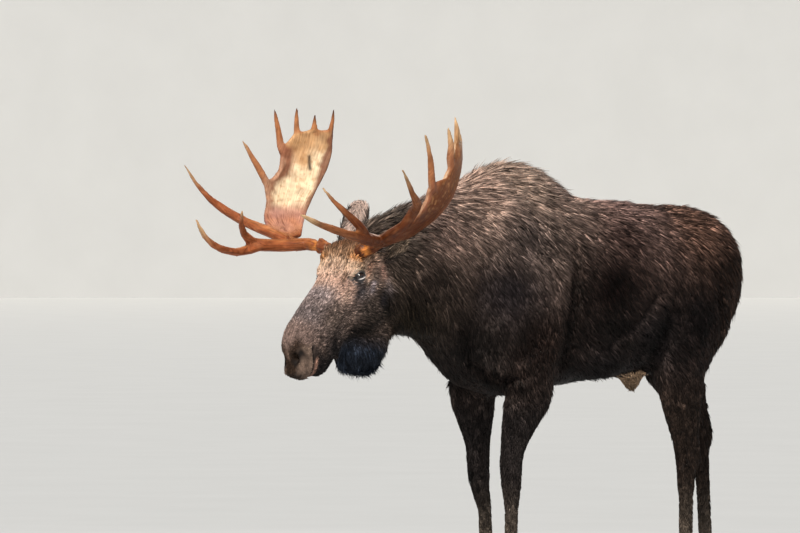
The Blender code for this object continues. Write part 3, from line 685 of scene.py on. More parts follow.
def nearMuzzle(points):
    distance, height, _ = faceCoordinates(points)
    return ((distance > 0.40) & (height > -0.27) & nearHead(points)) | (eyeDistance(points) < 0.055)


def nearSheath(points):
    away = np.linalg.norm(sideView(points) - np.array((0.635, 0.960)), axis=1)
    return (1 - smoothStep(away, 0.070, 0.110)) * (np.abs(bodyY(points)) < 0.080)


headFolds = [
    # start and end down the face and off it, width, depth, nearest to the middle
    ((0.106, -0.045), (0.124, -0.027), 0.006, 0.0050, 0.05),  # tear duct
    ((0.155, -0.085), (0.330, -0.115), 0.014, -0.0035, 0.04),  # ridge of bone under the eye
    ((0.200, -0.150), (0.360, -0.165), 0.022, 0.0050, 0.04),  # hollow over the jaw
    ((0.190, -0.045), (0.330, -0.060), 0.018, 0.0040, 0.04),  # hollow beside the bridge of the nose
]


# Nostrils, mouth, and the folds and hollows of the face
def carveHead(points):
    distance, height, left = faceCoordinates(points)
    side = np.abs(left)
    onHead = headShare(points)
    flat = faceView(points)
    # Nostrils: commas, open to the front and the side
    comma = nostrilDistance(distance, left)
    inward = skinShape["nostrilDepth"] * fade(pitDistance(distance, left), 0.0105, 2.4)
    inward += 0.0065 * fade(comma, 0.0110) - 0.0012 * fade(comma - 0.026, 0.010)
    inward *= smoothStep(height, -0.115, -0.085) * (side > 0.004)
    # The full lower front corner of the upper lip
    inward -= 0.013 * fade(np.hypot(distance - 0.600, height + 0.105), 0.030) * onHead
    # Mouth
    mouth = lineDistance(flat, mouthLine)
    upper = overMouth(distance, height) > 0
    below = between(mouth, 0.004, 0.014, 0.045, 0.075) * ~upper
    inward += skinShape["mouthDepth"] * fade(mouth, 0.0065) * onHead
    inward += (0.0060 * below - 0.0035 * fade(mouth - 0.014, 0.008) * upper) * onHead
    # The groove between the nostrils, and wrinkles over the lip and the nose
    inward += 0.0035 * fade(left, 0.006) * smoothStep(distance, 0.50, 0.535) * (height > -0.15)
    fold = np.sin((distance * 0.55 - height) * 900 + 5 * softNoise(points, 0.018, 9)) * 0.0005
    inward += fold * lipPatch(points)
    wrinkle = np.sin(distance * 520 + 3 * softNoise(points, 0.03, 8)) * 0.0007
    inward += wrinkle * between(distance, 0.36, 0.42, 0.46, 0.49) * (side > 0.03)
    for start, end, width, depth, nearest in headFolds:
        inward += depth * fade(segmentDistance(flat, start, end)[0], width) * (side > nearest)
    return inward


creases = [
    # start, end, width, depth
    ((0.170, 1.52), (0.150, 1.04), 0.026, 1.0),
    ((-0.268, 1.055), (-0.166, 0.996), 0.015, 1.2),
    ((-0.166, 0.996), (-0.066, 0.988), 0.015, 1.2),
    ((-0.330, 1.20), (-0.250, 1.06), 0.014, 0.6),
    ((-0.250, 1.50), (-0.270, 1.20), 0.034, 0.6),
    ((0.300, 1.09), (0.470, 1.19), 0.026, 0.5),
    ((0.470, 1.19), (0.600, 1.36), 0.026, 0.6),
    ((0.620, 1.04), (0.660, 1.24), 0.034, 1.2),
    ((0.900, 1.40), (0.930, 1.17), 0.020, 0.5),
    ((-0.600, 1.38), (-0.560, 1.22), 0.024, 0.4),
]
lobes = [((0.095, 1.10), (0.110, 1.44), 0.040, 0.5), ((-0.150, 1.18), (-0.110, 1.40), 0.070, 0.35),
         ((0.560, 1.06), (0.600, 1.22), 0.024, 0.4), ((0.800, 1.16), (0.800, 1.42), 0.070, 0.25),
         ((-0.250, 1.085), (-0.150, 1.040), 0.026, 0.45), ((-0.150, 1.040), (-0.050, 1.030), 0.024, 0.40)]


# How deep each point lies in the creases of the shoulder, elbow, breast, flank and thigh
def creaseShare(points):
    flat = sideView(points)
    share = sum(depth * strokeShare(flat, start, end, width, 0.14) for start, end, width, depth in creases)
    return share * smoothStep(np.abs(bodyY(points)), 0.05, 0.12) * (1 - headShare(points))


# The creases, and the rounded muscles beside them
def carveBody(points):
    outer = smoothStep(np.abs(bodyY(points)), 0.07, 0.14)
    inward = skinShape["creaseDepth"] * creaseShare(points)
    for start, end, width, depth in lobes:
        away, _ = segmentDistance(sideView(points), start, end)
        inward -= depth * skinShape["creaseDepth"] * fade(away, width) * outer
    inward += (softNoise(points, 0.09, 11) - 0.5) * 0.006 * smoothStep(points[:, 2], 0.9, 1.1)
    inward -= 0.008 * nearSheath(points)
    return inward * (1 - headShare(points))


# Tendons and the edges of the knees and hocks
def carveLegs(points, normals):
    low = 1 - smoothStep(points[:, 2], 0.70, 0.90)
    rear = between(normals[:, 0], -0.2, 0.35, 0.45, 0.85)
    shaft = between(points[:, 2], 0.20, 0.26, 0.46, 0.56)
    return 0.0045 * low * rear * shaft


def drawIn(mesh, depth):
    setPoints(mesh, pointsOf(mesh) - normalsOf(mesh) * depth[:, None])


def makeSkin():
    wrapped = nodesAsOne(fleshNodes + ["eye_left", "eye_right"], skinShape["push"])
    mesh = remeshed(wrapped, skinShape["voxel"])
    relaxed(mesh, skinShape["smoothing"], only=1 - 0.75 * nearSheath(pointsOf(mesh)))
    refined(mesh, nearHead)
    relaxed(mesh, 4, only=nearHead(pointsOf(mesh)).astype(float))
    refined(mesh, nearMuzzle)
    relaxed(mesh, 3, only=nearMuzzle(pointsOf(mesh)).astype(float))
    drawIn(mesh, carveBody(pointsOf(mesh)))
    drawIn(mesh, carveHead(pointsOf(mesh)))
    drawIn(mesh, carveLegs(pointsOf(mesh), normalsOf(mesh)))
    # The skin isn't drawn in where the animal stands on its hooves
    points = pointsOf(mesh)
    drawIn(mesh, (coatAt(points)[4] + skinShape["push"] * 0.5) * smoothStep(points[:, 2], 0.03, 0.12))
    # The sheath hangs a little lower
    points = pointsOf(mesh)
    away = np.hypot(bodyX(points) - 0.624, points[:, 2] - 0.965)
    points[:, 2] -= skinShape["sheathHang"] * fade(away, 0.034) * (np.abs(bodyY(points)) < 0.075)
    setPoints(mesh, points)
    relaxed(mesh, 2, 0.3, -0.3)
    return mesh


def paintSkin(mesh):
    points, normals = pointsOf(mesh), normalsOf(mesh)
    distance, height, left = faceCoordinates(points)
    # Painted shade: the skin along the nostril openings is darkened
    dark = fade(nostrilDistance(distance, left), 0.0135, 3) * smoothStep(height, -0.125, -0.095)
    colour = painted(markingsAndPaintedLight(points, normals), dark, faceLook["nostrilShade"])
    bare = 1 - smoothStep(eyeDistance(points), 0.030, 0.044)
    setColours(mesh, "markingsAndPaintedLight", painted(colour, bare, faceLook["lidSkin"]))


print("skin")
skinMesh = makeSkin()
paintSkin(skinMesh)
hide = skinMaterial()
skin = newPiece("skin", skinMesh, hide)
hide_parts(*fleshNodes)
print("skin", len(skinMesh.vertices), "vertices")
skinTree = BVHTree.FromPolygons([v.co.copy() for v in skinMesh.vertices],
                                [tuple(p.vertices) for p in skinMesh.polygons])


# Eyes and lids

eyeLook = {"iris": (0.022, 0.010, 0.006), "pupil": (0.002, 0.002, 0.003), "white": (0.028, 0.021, 0.019),
           "lid": (0.020, 0.016, 0.015), "paintedLidGlint": (0.80, 0.72, 0.70), "rim": (0.005, 0.004, 0.004),
           "pouch": (0.060, 0.053, 0.056), "fold": (0.300, 0.215, 0.140), "blueSkinSheen": (0.075, 0.085, 0.105),
           "ring": (0.004, 0.003, 0.003), "irisSize": 0.62, "pupilSize": (0.40, 0.17)}


def eyeMaterial():
    material, nodes, links, shader = newMaterial("eye_wet")
    links.new(coloured(nodes, "tint"), shader.inputs["Base Color"])
    shader.inputs["Roughness"].default_value = 0.22
    shader.inputs["Specular IOR Level"].default_value = 0.40
    shader.inputs["Coat Weight"].default_value = 0.5
    shader.inputs["Coat Roughness"].default_value = 0.10
    veins = objectNoise(nodes, links, 900, 3)
    addBump(nodes, links, shader, veins.outputs["Fac"], 0.03, 0.0005)
    return material


def lidMaterial():
    material, nodes, links, shader = newMaterial("eyelid")
    grain = objectNoise(nodes, links, 700, 4)
    mixed = mottled(nodes, links, coloured(nodes, "tint"), grain.outputs["Fac"],
                    [(0.3, (0.7, 0.7, 0.7)), (0.7, (1.25, 1.25, 1.25))])
    links.new(mixed, shader.inputs["Base Color"])
    shader.inputs["Roughness"].default_value = 0.42
    addBump(nodes, links, shader, grain.outputs["Fac"], 0.5, 0.0012)
    return material


# The eyeball looks outwards and a little forward, with a level slot of a pupil
def makeEye(label, side):
    middle = Vector(headPlace(eyeSpot[0], side * eyeSpot[1], eyeSpot[2]))
    gaze = Vector(ahead * 0.16 + leftward * side * 0.97 + upward * 0.12).normalized()
    across = Vector(ahead - leftward * side * 0.165).normalized()
    across = (across - gaze * across.dot(gaze)).normalized()
    above = gaze.cross(across) * side * -1
    turn = Matrix((across, above, gaze)).transposed().to_4x4()
    if turn.determinant() < 0:
        turn = Matrix((-across, above, gaze)).transposed().to_4x4()
    bm = bmesh.new()
    bmesh.ops.create_uvsphere(bm, u_segments=64, v_segments=48, radius=eyeRadius)
    for vertex in bm.verts:
        vertex.co *= 1 + 0.045 * max(0.0, (vertex.co.z / eyeRadius - 0.80) / 0.20)  # the cornea bulges
    bm.transform(Matrix.Translation(middle) @ turn)
    mesh = toMesh(f"eyeball_{label}", bm)
    x, y, outward = ((pointsOf(mesh) - np.array(middle)) @ np.array(turn.to_3x3()) / eyeRadius).T
    span = np.hypot(x, y)
    slot = np.hypot(x / eyeLook["pupilSize"][0], y / eyeLook["pupilSize"][1])
    white = np.array(eyeLook["white"])
    colour = np.where((span < eyeLook["irisSize"])[:, None], np.array(eyeLook["iris"]), white)
    colour = painted(colour, fade(span - eyeLook["irisSize"], 0.06), eyeLook["ring"])
    colour[(slot < 1) & (outward > 0)] = eyeLook["pupil"]
    colour[outward < 0] = white
    setColours(mesh, "tint", colour)
    piece = newPiece(f"eyeball_{label}", mesh, wetEye)
    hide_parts(f"eye_{label}")
    return middle, gaze, across, above


# The larger of two heights, rounded where they meet
def softMost(first, second, blend):
    share = np.clip(0.5 + 0.5 * (first - second) / blend, 0, 1)
    return second * (1 - share) + first * share + blend * share * (1 - share)


lidShape = {"around": 96, "rings": 40, "halfWidth": 0.0212, "top": 0.0168, "bottom": 0.0060, "tilt": 20,
            "thickness": 0.0026, "reachAlong": 0.050, "reachUp": 0.042, "blend": 0.011, "sheet": 0.0012}


# The lids' colours: a dark wet edge, a pale lower margin that is a painted reflection of the light, painted
# shade in the creases under it, bluish skin at the back corner with a painted highlight, and the folds, and
# the coat's own further out
def lidColour(points, gaze, rise, reachAcross, share, fromEdge):
    upper, lower = smoothStep(rise, 0.05, 0.5), smoothStep(-rise, 0.05, 0.5)
    back, front = smoothStep(-reachAcross, 0.35, 0.95), smoothStep(reachAcross, 0.45, 0.95)
    behind = smoothStep(-reachAcross, 0.70, 0.97) * smoothStep(0.45 - rise, 0.0, 0.3)
    # Painted reflection of the light along the wet lower lid margin
    glintBand = fade(np.maximum(np.abs(fromEdge - 0.0026) - 0.0012, 0), 0.0011)
    layers = [
        (smoothStep(fromEdge, 0.003, 0.008) * lower, "pouch"),
        (smoothStep(fromEdge, 0.0045, 0.0085) * upper * (1 - 0.8 * back), "fold"),
        # Painted shade in the two creases under the lower lid
        (fade(fromEdge - 0.0074, 0.0012) * lower * 0.6, "lid"),
        (fade(fromEdge - 0.0130, 0.0013) * lower * 0.5, "lid"),
        # Bluish-grey bare skin behind the back corner, lightened as a painted highlight
        (behind * fade(fromEdge - 0.0110, 0.0045) * 0.9, "blueSkinSheen"),
        (glintBand * (0.95 * lower + 0.08 * upper) * (1 - 0.8 * front), "paintedLidGlint"),
        (1 - smoothStep(fromEdge, 0.0004, 0.0016), "rim"),
        (back * (1 - smoothStep(fromEdge, 0.003, 0.007)), "rim"),
        (front * (1 - smoothStep(fromEdge, 0.004, 0.010)), "rim"),
    ]
    colour = np.array(eyeLook["lid"]) * np.ones((len(points), 1))
    for part, name in layers:
        colour = painted(colour, part, eyeLook[name])
    hideColour = markingsAndPaintedLight(points, np.repeat(gaze[None, :], len(points), 0))
    return painted(colour, smoothStep(share, 0.45, 0.80), hideColour)


# Rings of skin from the edge of the opening, over the eyeball, and out under the hide
def makeLids(label, middle, gaze, across, above):
    tilt = radians(-lidShape["tilt"])
    across, above = across * cos(tilt) + above * sin(tilt), above * cos(tilt) - across * sin(tilt)
    mesh = gridMesh(f"eyelids_{label}", lidShape["around"], lidShape["rings"])
    flat = pointsOf(mesh)
    turn = (flat[:, 0] + 1) * pi
    share = (flat[:, 1] + 1) / 2
    reachAcross, rise = np.cos(turn), np.sin(turn)
    # The opening: an almond, whose corners are drawn out
    edgeX = lidShape["halfWidth"] * reachAcross * (1 + 0.10 * np.abs(reachAcross) ** 8)
    edgeY = np.where(rise > 0, lidShape["top"], lidShape["bottom"]) * np.sign(rise) * np.abs(rise) ** 1.15
    spread = smoothStep(share, 0.0, 1.0) * 0.35 + share * 0.65
    spread = np.clip((spread - 0.06) / 0.94, -0.03, 1)
    x = edgeX + (lidShape["reachAlong"] * reachAcross - edgeX) * spread
    y = edgeY + (lidShape["reachUp"] * rise - edgeY) * spread
    away = np.hypot(x, y)
    fromEdge = np.hypot(x - edgeX, y - edgeY)
    # Over the eyeball first, then down to the hide
    lidRadius = eyeRadius + lidShape["thickness"]
    reach = np.minimum(away, lidRadius * 0.995)
    ball = np.sqrt(lidRadius ** 2 - reach ** 2) - np.maximum(away - lidRadius * 0.995, 0) * 6
    gazeArray = np.array(gaze)
    spots = np.array(middle) + np.outer(x, across) + np.outer(y, above)
    ground = np.empty(len(spots))
    for index, spot in enumerate(spots):
        hit = skinTree.ray_cast(Vector(spot + gazeArray * 0.05), -gaze, 0.15)[0]
        ground[index] = (np.array(hit) - spot) @ gazeArray if hit is not None else -0.02
    ground = ground + 0.0022 - 0.0050 * smoothStep(share, 0.72, 1.0)
    height = softMost(ball, ground, lidShape["blend"])
    # Folds: one over the upper lid, two under the lower, and a thick brow above
    upper, lower = smoothStep(rise, 0.05, 0.5), smoothStep(-rise, 0.05, 0.5)
    for place, width, depth, part in ((0.0062, 0.0016, -0.0022, upper), (0.0120, 0.0045, 0.0028, upper),
                                      (0.0072, 0.0014, -0.0013, lower), (0.0128, 0.0016, -0.0011, lower),
                                      (0.0030, 0.0018, 0.0010, 1.0), (0.0048, 0.0026, 0.0030, lower)):
        height += depth * fade(fromEdge - place, width) * part
    wrinkle = softNoise(np.stack([turn * 0.03, fromEdge, share * 0], axis=1), 0.0022, 51) - 0.5
    height += wrinkle * 0.0010 * between(share, 0.10, 0.25, 0.7, 0.9)
    # The innermost rings turn in to the eyeball
    eyeHeight = np.sqrt(np.maximum(eyeRadius ** 2 - away ** 2, 0.0001 ** 2))
    depth = np.clip(share / 0.055, 0, 1)
    height = np.where(spread <= 0.0, eyeHeight * (1 - depth) * 0.985 + height * depth, height)
    setPoints(mesh, spots + np.outer(height, gazeArray))
    setColours(mesh, "tint", lidColour(pointsOf(mesh), gazeArray, rise, reachAcross, share, fromEdge))
    thicken(mesh, gaze, lidShape["sheet"], weld=True)
    newPiece(f"eyelids_{label}", mesh, lidSkin)


print("eyes")
wetEye = eyeMaterial()
lidSkin = lidMaterial()
for label, side in (("left", 1), ("right", -1)):
    makeLids(label, *makeEye(label, side))


# Antlers: the same lines that the solids follow, which carry the grain and the colours

beam = [(-0.004, 0.085, 0.000), (0.000, 0.200, 0.029, 0.025), (0.010, 0.330, 0.062, 0.045)]
browTine = [(0.005, 0.215, 0.034, 0.022), (0.173, 0.300, 0.050, 0.022), (0.413, 0.306, 0.103, 0.014),
            (0.540, 0.298, 0.152, 0.132)]
upperBrowTine = [(0.150, 0.292, 0.046, 0.022), (0.265, 0.303, 0.142, 0.070), (0.346, 0.227, 0.259, 0.169)]
frontTine = [(0.045, 0.275, 0.045, 0.040), (0.066, 0.420, 0.105, 0.090), (0.120, 0.548, 0.190, 0.155),
             (0.240, 0.612, 0.280, 0.276), (0.297, 0.626, 0.346, 0.354)]
palmLines = [
    [(0.030, 0.320, 0.055), (-0.022, 0.450, 0.200), (-0.030, 0.480, 0.263, 0.284),
     (0.064, 0.527, 0.486, 0.457)],
    [(-0.010, 0.318, 0.050), (-0.115, 0.455, 0.225), (-0.140, 0.480, 0.350, 0.390),
     (-0.099, 0.503, 0.506, 0.584)],
    [(-0.020, 0.316, 0.050), (-0.160, 0.430, 0.230), (-0.195, 0.460, 0.410, 0.450),
     (-0.180, 0.451, 0.560, 0.597)],
    [(-0.040, 0.314, 0.052), (-0.200, 0.410, 0.240), (-0.240, 0.425, 0.420, 0.460),
     (-0.244, 0.408, 0.520, 0.565)],
    [(-0.065, 0.312, 0.056), (-0.240, 0.395, 0.250), (-0.295, 0.372, 0.420, 0.460),
     (-0.299, 0.356, 0.520, 0.578)],
]
antlerLines = [beam, browTine, upperBrowTine, frontTine] + palmLines
antlerLook = {"push": 0.0009, "voxel": 0.0050, "smoothing": 6, "groove": 0.0011, "pearl": 0.0060,
              "waist": 0.0095, "tipLight": 0.75,
              # The near, left antler's amber is darker as painted shade
              "amberAndPaintedShade": {"left": (0.125, 0.030, 0.005), "right": (0.390, 0.110, 0.036)},
              "russet": (0.090, 0.026, 0.010), "ivory": (0.66, 0.46, 0.26), "cream": (0.95, 0.76, 0.52),
              "ochre": (0.520, 0.265, 0.105), "rosy": (0.560, 0.285, 0.240), "edge": (0.330, 0.125, 0.070),
              "tine": (0.420, 0.165, 0.065), "paintedTopLight": (0.460, 0.190, 0.060),
              "pedicle": (0.700, 0.260, 0.060), "crack": (0.030, 0.017, 0.010)}


def antlerPoint(point, side):
    return headPlace(point[0], side * point[1], point[2] if side > 0 else point[-1])


# By each point's nearest line: how far along it, the turn round it, and the share of the way to its tip
def antlerGrowth(points, side):
    best = np.full(len(points), 1e9)
    along, angle, tip = (np.zeros(len(points)) for _ in range(3))
    for index, line in enumerate(antlerLines):
        path = [antlerPoint(point, side) for point in line]
        length = sum(np.linalg.norm(b - a) for a, b in zip(path, path[1:]))
        before = 0.0
        for start, end in zip(path, path[1:]):
            away, share = segmentDistance(points, start, end)
            stretch = np.linalg.norm(end - start)
            direction = (end - start) / stretch
            sideways = unit(np.cross(direction, upward))
            over = np.cross(sideways, direction)
            place = before + share * stretch
            nearer = away < best
            best = np.where(nearer, away, best)
            along = np.where(nearer, place, along)
            angle = np.where(nearer, np.arctan2((points - start) @ over, (points - start) @ sideways), angle)
            tip = np.where(nearer, place / length if index else 0.0, tip)
            before += stretch
    return along, angle, tip


# The palm's share of each point, and the way across it from its front edge, 0, to its back edge, 1
def palmPlaces(forward, outward, up):
    palm = smoothStep(up, 0.10, 0.20) * smoothStep(outward, 0.30, 0.36)
    palm = palm * (1 - smoothStep(forward, 0.02, 0.07))
    front = np.interp(up, (0.055, 0.200, 0.280, 0.450), (0.050, 0.000, -0.026, -0.080))
    back = np.interp(up, (0.055, 0.250, 0.420, 0.550), (-0.085, -0.258, -0.312, -0.318))
    return palm, (front - forward) / (front - back)


# Beams of amber with dark grooves and light tips, painted light on their tops, and painted shade on the
# left beam; on the right a palm that is cream within, with red-brown edges, rosy below, ochre above,
# darker tines and a crack
def antlerColour(label, side, points, normals, pattern, tip):
    forward, outward, up = headCoordinates(points)
    outward = outward * side
    palm, width = palmPlaces(forward, outward, up)
    right = side < 0
    look = antlerLook
    blotch, fine = softNoise(points, 0.06, 23), softNoise(points, 0.016, 24)
    ragged = 0.10 * (softNoise(points, 0.020, 28) - 0.5) + 0.06 * (fine - 0.5)
    hollow = unit(ahead * 0.75 - leftward * side * 0.55 + upward * 0.25)
    facing = smoothStep(normals @ hollow, 0.05, 0.45)
    smoothTip = smoothStep(tip, 0.72, 0.95)
    root = 1 - smoothStep(outward, 0.15, 0.24)
    grooved = np.clip(0.55 * pattern * (0.4 + blotch), 0, 1) * (1 - smoothTip) * (1 - 0.6 * palm)
    ochre = smoothStep(up + 0.16 * (blotch - 0.5), 0.355, 0.425)
    flecks = smoothStep(softNoise(points, 0.010, 29), 0.60, 0.80)
    rosy = 1 - smoothStep(up + 0.10 * (blotch - 0.5), 0.11, 0.19)
    lowPalm = smoothStep(up, 0.045, 0.085) * smoothStep(outward, 0.30, 0.36)
    lowPalm = lowPalm * (1 - smoothStep(forward, 0.03, 0.08))
    rim = np.interp(up, (0.055, 0.20, 0.276, 0.305, 0.346, 0.45),
                    (0.050, 0.000, -0.035, -0.084, -0.100, -0.110))
    inFromRim = (rim - forward) / 0.25
    mauve = fade(inFromRim - 0.16, 0.11) * smoothStep(up, 0.25, 0.31)
    mauve = mauve * (1 - smoothStep(up, 0.40, 0.44)) * (0.6 + 0.7 * blotch)
    notch = 0.432 + 0.040 * np.clip(width / 0.4, 0, 1)
    tine = smoothStep(up - notch + 0.3 * ragged, -0.006, 0.022) + smoothStep(-width, -0.02, 0.12)
    # Painted light: faces turned up are lighter, away from the palm
    top = smoothStep(normals[:, 2], 0.45, 0.95) * (1 - palm)
    pale = np.clip(smoothTip * look["tipLight"] + 0.16 * (fine - 0.5), 0, 1)
    golden = fade(outward - 0.150, 0.020) * (1 - palm) * smoothStep(forward, -0.015, 0.020)
    crack = fade(width - 0.715 + 1.1 * (up - 0.36), 0.026) * smoothStep(up, 0.318, 0.334)
    crack = crack * (1 - smoothStep(up, 0.380, 0.396)) * facing * palm
    russet, edge = np.array(look["russet"]), np.array(look["edge"])
    layers = [
        (root * 0.30 + grooved, russet),
        (palm * facing * smoothStep(up, 0.10, 0.20), look["cream"]),
        (palm * ochre * 0.85, look["ochre"]),
        (palm * flecks * 0.45, look["ochre"]),
        (lowPalm * rosy * 0.85 * right, look["rosy"]),
        (np.clip(palm * mauve * 1.05, 0, 0.92) * right, edge * 0.9),
        (palm * (1 - smoothStep(inFromRim + ragged, 0.07, 0.19)) * 0.80, edge),
        (palm * smoothStep(width + 0.6 * ragged, 0.83, 0.91) * 0.90, edge * 0.70),
        (palm * np.clip(tine, 0, 1) * 0.85, look["tine"]),
        (palm * smoothStep(tip, 0.90, 0.99) * right, russet * 0.7),
        (top * 0.45 * (0.5 + blotch), look["paintedTopLight"]),
        (pale * (1 - palm * right), look["ivory"]),
        (golden * 0.85 * smoothStep(fine, 0.30, 0.60), look["pedicle"]),
        (smoothStep(tip, 0.30, 0.75) * (1 - smoothTip) * 0.45 * (not right), look["tine"]),
        (crack * 0.95 * right, look["crack"]),
    ]
    # The amber of each side, the left one darkened as painted shade
    colour = np.repeat(np.array(look["amberAndPaintedShade"][label])[None, :], len(points), 0)
    for part, mark in layers:
        colour = painted(colour, part, mark)
    return colour * (0.78 + 0.26 * fine + 0.22 * blotch)[:, None]


# Grooves run along the beams, veins up the palm, and pearls crowd round the burr
def makeAntler(label, side):
    nodes = [f"antler_{label}_{word}" for word in ("beam", "brow", "front_tine", "palm")]
    mesh = remeshed(nodesAsOne(nodes, antlerLook["push"]), antlerLook["voxel"])
    relaxed(mesh, antlerLook["smoothing"])
    points, normals = pointsOf(mesh), normalsOf(mesh)
    along, angle, tip = antlerGrowth(points, side)
    forward, outward, up = headCoordinates(points)
    outward = outward * side
    palm, width = palmPlaces(forward, outward, up)
    across = np.where(palm > 0.5, width * 0.20, angle * 0.018)
    along = np.where(palm > 0.5, up, along)
    wander = 1.6 * softNoise(points, 0.045, 21)
    groove = 0.5 + 0.325 * np.sin(angle * 9 + wander * 4) + 0.175 * np.sin(angle * 17 + wander * 7)
    veins = softNoise(np.stack([across, along * 0.08, across * 0], axis=1), 0.0045, 27)
    pattern = groove * (1 - palm) + veins * 0.55 * palm
    lift = -antlerLook["groove"] * pattern * (1 - 0.8 * smoothStep(tip, 0.72, 0.95))
    neck = fade(outward - 0.140, 0.022) * (1 - smoothStep(np.hypot(forward, up), 0.05, 0.07))
    lift -= antlerLook["waist"] * neck
    pearls = np.clip(softNoise(points, 0.0090, 22) - 0.42, 0, 1) * 2
    burr = fade(outward - 0.131, 0.014) + 0.35 * (1 - smoothStep(outward, 0.15, 0.24))
    lift += antlerLook["pearl"] * pearls * np.clip(burr, 0, 1)
    setPoints(mesh, points + normals * lift[:, None])
    setColours(mesh, "markingsAndPaintedLight", antlerColour(label, side, points, normals, pattern, tip))
    grain = mesh.attributes.new("grain", "FLOAT_VECTOR", "POINT")
    grain.data.foreach_set("vector", np.stack([across, along, palm], axis=1).astype(np.float32).ravel())
    piece = newPiece(f"antler_{label}", mesh, bone)
    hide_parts(*nodes)


# Streaks and grooves follow the growth of the antler, through the grain coordinates on its points
def boneMaterial():
    material, nodes, links, shader = newMaterial("antler_bone_grain")
    grain = nodes.new("ShaderNodeAttribute")
    grain.attribute_name = "grain"

    def along(detail, stretch):
        mapping = addNode(nodes, "ShaderNodeMapping", Scale=stretch)
        noise = addNode(nodes, "ShaderNodeTexNoise", Scale=1.0, Detail=detail)
        links.new(grain.outputs["Vector"], mapping.inputs["Vector"])
        links.new(mapping.outputs["Vector"], noise.inputs["Vector"])
        return noise.outputs["Fac"]

    streak = along(3, (260, 14, 0))
    shade = colourRamp(nodes, links, streak,
                       [(0.34, (0.55, 0.46, 0.40)), (0.50, (0.98, 0.97, 0.96)), (0.70, (1.20, 1.18, 1.15))])
    # Fainter streaks on the palm, whose share is the third grain coordinate
    split = nodes.new("ShaderNodeSeparateXYZ")
    links.new(grain.outputs["Vector"], split.inputs["Vector"])
    weaker = nodes.new("ShaderNodeMath")
    weaker.operation = "MULTIPLY_ADD"
    weaker.inputs[1].default_value = -0.45
    weaker.inputs[2].default_value = 1.0
    links.new(split.outputs["Z"], weaker.inputs[0])
    mixed = mixColours(nodes, links, weaker.outputs[0], coloured(nodes, "markingsAndPaintedLight"), shade.outputs["Color"],
                       "MULTIPLY")
    dots = colourRamp(nodes, links, along(2, (420, 90, 0)),
                      [(0.24, (0.30, 0.22, 0.17)), (0.33, (1.0, 1.0, 1.0))])
    mixed = mixColours(nodes, links, 0.8, mixed, dots.outputs["Color"], "MULTIPLY")
    cloud = objectNoise(nodes, links, 22, 5)
    mixed = mottled(nodes, links, mixed, cloud.outputs["Fac"],
                    [(0.33, (0.80, 0.75, 0.70)), (0.66, (1.18, 1.16, 1.13))])
    links.new(mixed, shader.inputs["Base Color"])
    shader.inputs["Specular IOR Level"].default_value = 0.20
    rough = colourRamp(nodes, links, cloud.outputs["Fac"],
                       [(0.3, (0.36, 0.36, 0.36)), (0.7, (0.54, 0.54, 0.54))])
    links.new(rough.outputs["Color"], shader.inputs["Roughness"])
    addBump(nodes, links, shader, streak, 0.5, 0.003)
    return material


print("antlers")
bone = boneMaterial()
makeAntler("left", 1)
makeAntler("right", -1)


# Hooves

def hoofMaterial():
    material, nodes, links, shader = newMaterial("hoof_horn_ringed")
    rings = objectNoise(nodes, links, 26, 4, (0.5, 0.5, 9.0))
    shade = colourRamp(nodes, links, rings.outputs["Fac"],
                       [(0.3, (0.012, 0.011, 0.010)), (0.7, (0.048, 0.041, 0.034))])
    links.new(shade.outputs["Color"], shader.inputs["Base Color"])
    shader.inputs["Roughness"].default_value = 0.38
    addBump(nodes, links, shader, rings.outputs["Fac"], 0.5, 0.002)
    return material


hoofShape = {"smoothest": 28, "rounding": 0.0035}


# Each hoof and dewclaw in its own place, its edges rounded and its wall ringed
def makeHooves():
    horn = hoofMaterial()
    for name in [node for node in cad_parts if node.startswith(("toe_", "dewclaw_"))]:
        bm = nodesAsOne([name], 0.0)
        smoothest = radians(hoofShape["smoothest"])
        sharp = [edge for edge in bm.edges if edge.is_manifold and edge.calc_face_angle(0) > smoothest]
        bmesh.ops.bevel(bm, geom=sharp, offset=hoofShape["rounding"], offset_type="OFFSET", affect="EDGES",
                        segments=3, profile=0.5, material=-1, clamp_overlap=True)
        bmesh.ops.recalc_face_normals(bm, faces=bm.faces)
        piece = newPiece(name.replace("toe_", "hoof_").replace("dewclaw_", "spur_"), bm, horn)
        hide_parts(name)


print("hooves")
makeHooves()


# Ears

# The left, near ear is darker inside as a painted shadow of the antler over it
earLook = {"inside": {"left": (0.150, 0.110, 0.080), "right": (0.660, 0.500, 0.430)},
           "outside": (0.046, 0.034, 0.028), "rim": (0.040, 0.030, 0.026), "thickness": 0.0030,
           "locks": 4200, "lockWidth": 0.0034, "lockInside": 0.034, "lockOutside": 0.020}
earPose = {"left": (1, (-0.225, 0.135, 0.045), (0.45, 0.80, -0.40)),
           "right": (-1, (-0.266, -0.160, 0.197), (0.76, 0.58, 0.20))}
# share of the length, half width, roll
earRows = [(0.00, 0.019, 1.00), (0.12, 0.027, 0.95), (0.30, 0.039, 0.72), (0.50, 0.048, 0.48),
           (0.72, 0.051, 0.36), (0.88, 0.042, 0.30), (0.96, 0.027, 0.24), (1.00, 0.008, 0.20)]
earShares, earHalves, earRolls = np.array(earRows).T


def earFrame(label):
    side, tip, opening = earPose[label]
    root = headPlace(-0.085, side * 0.090, -0.030)
    along = headPlace(*tip) - root
    length = np.linalg.norm(along)
    along = along / length
    facing = ahead * opening[0] + leftward * opening[1] + upward * opening[2]
    across = unit(np.cross(along, facing))
    face = unit(np.cross(across, along))
    return root, along, across, face, length


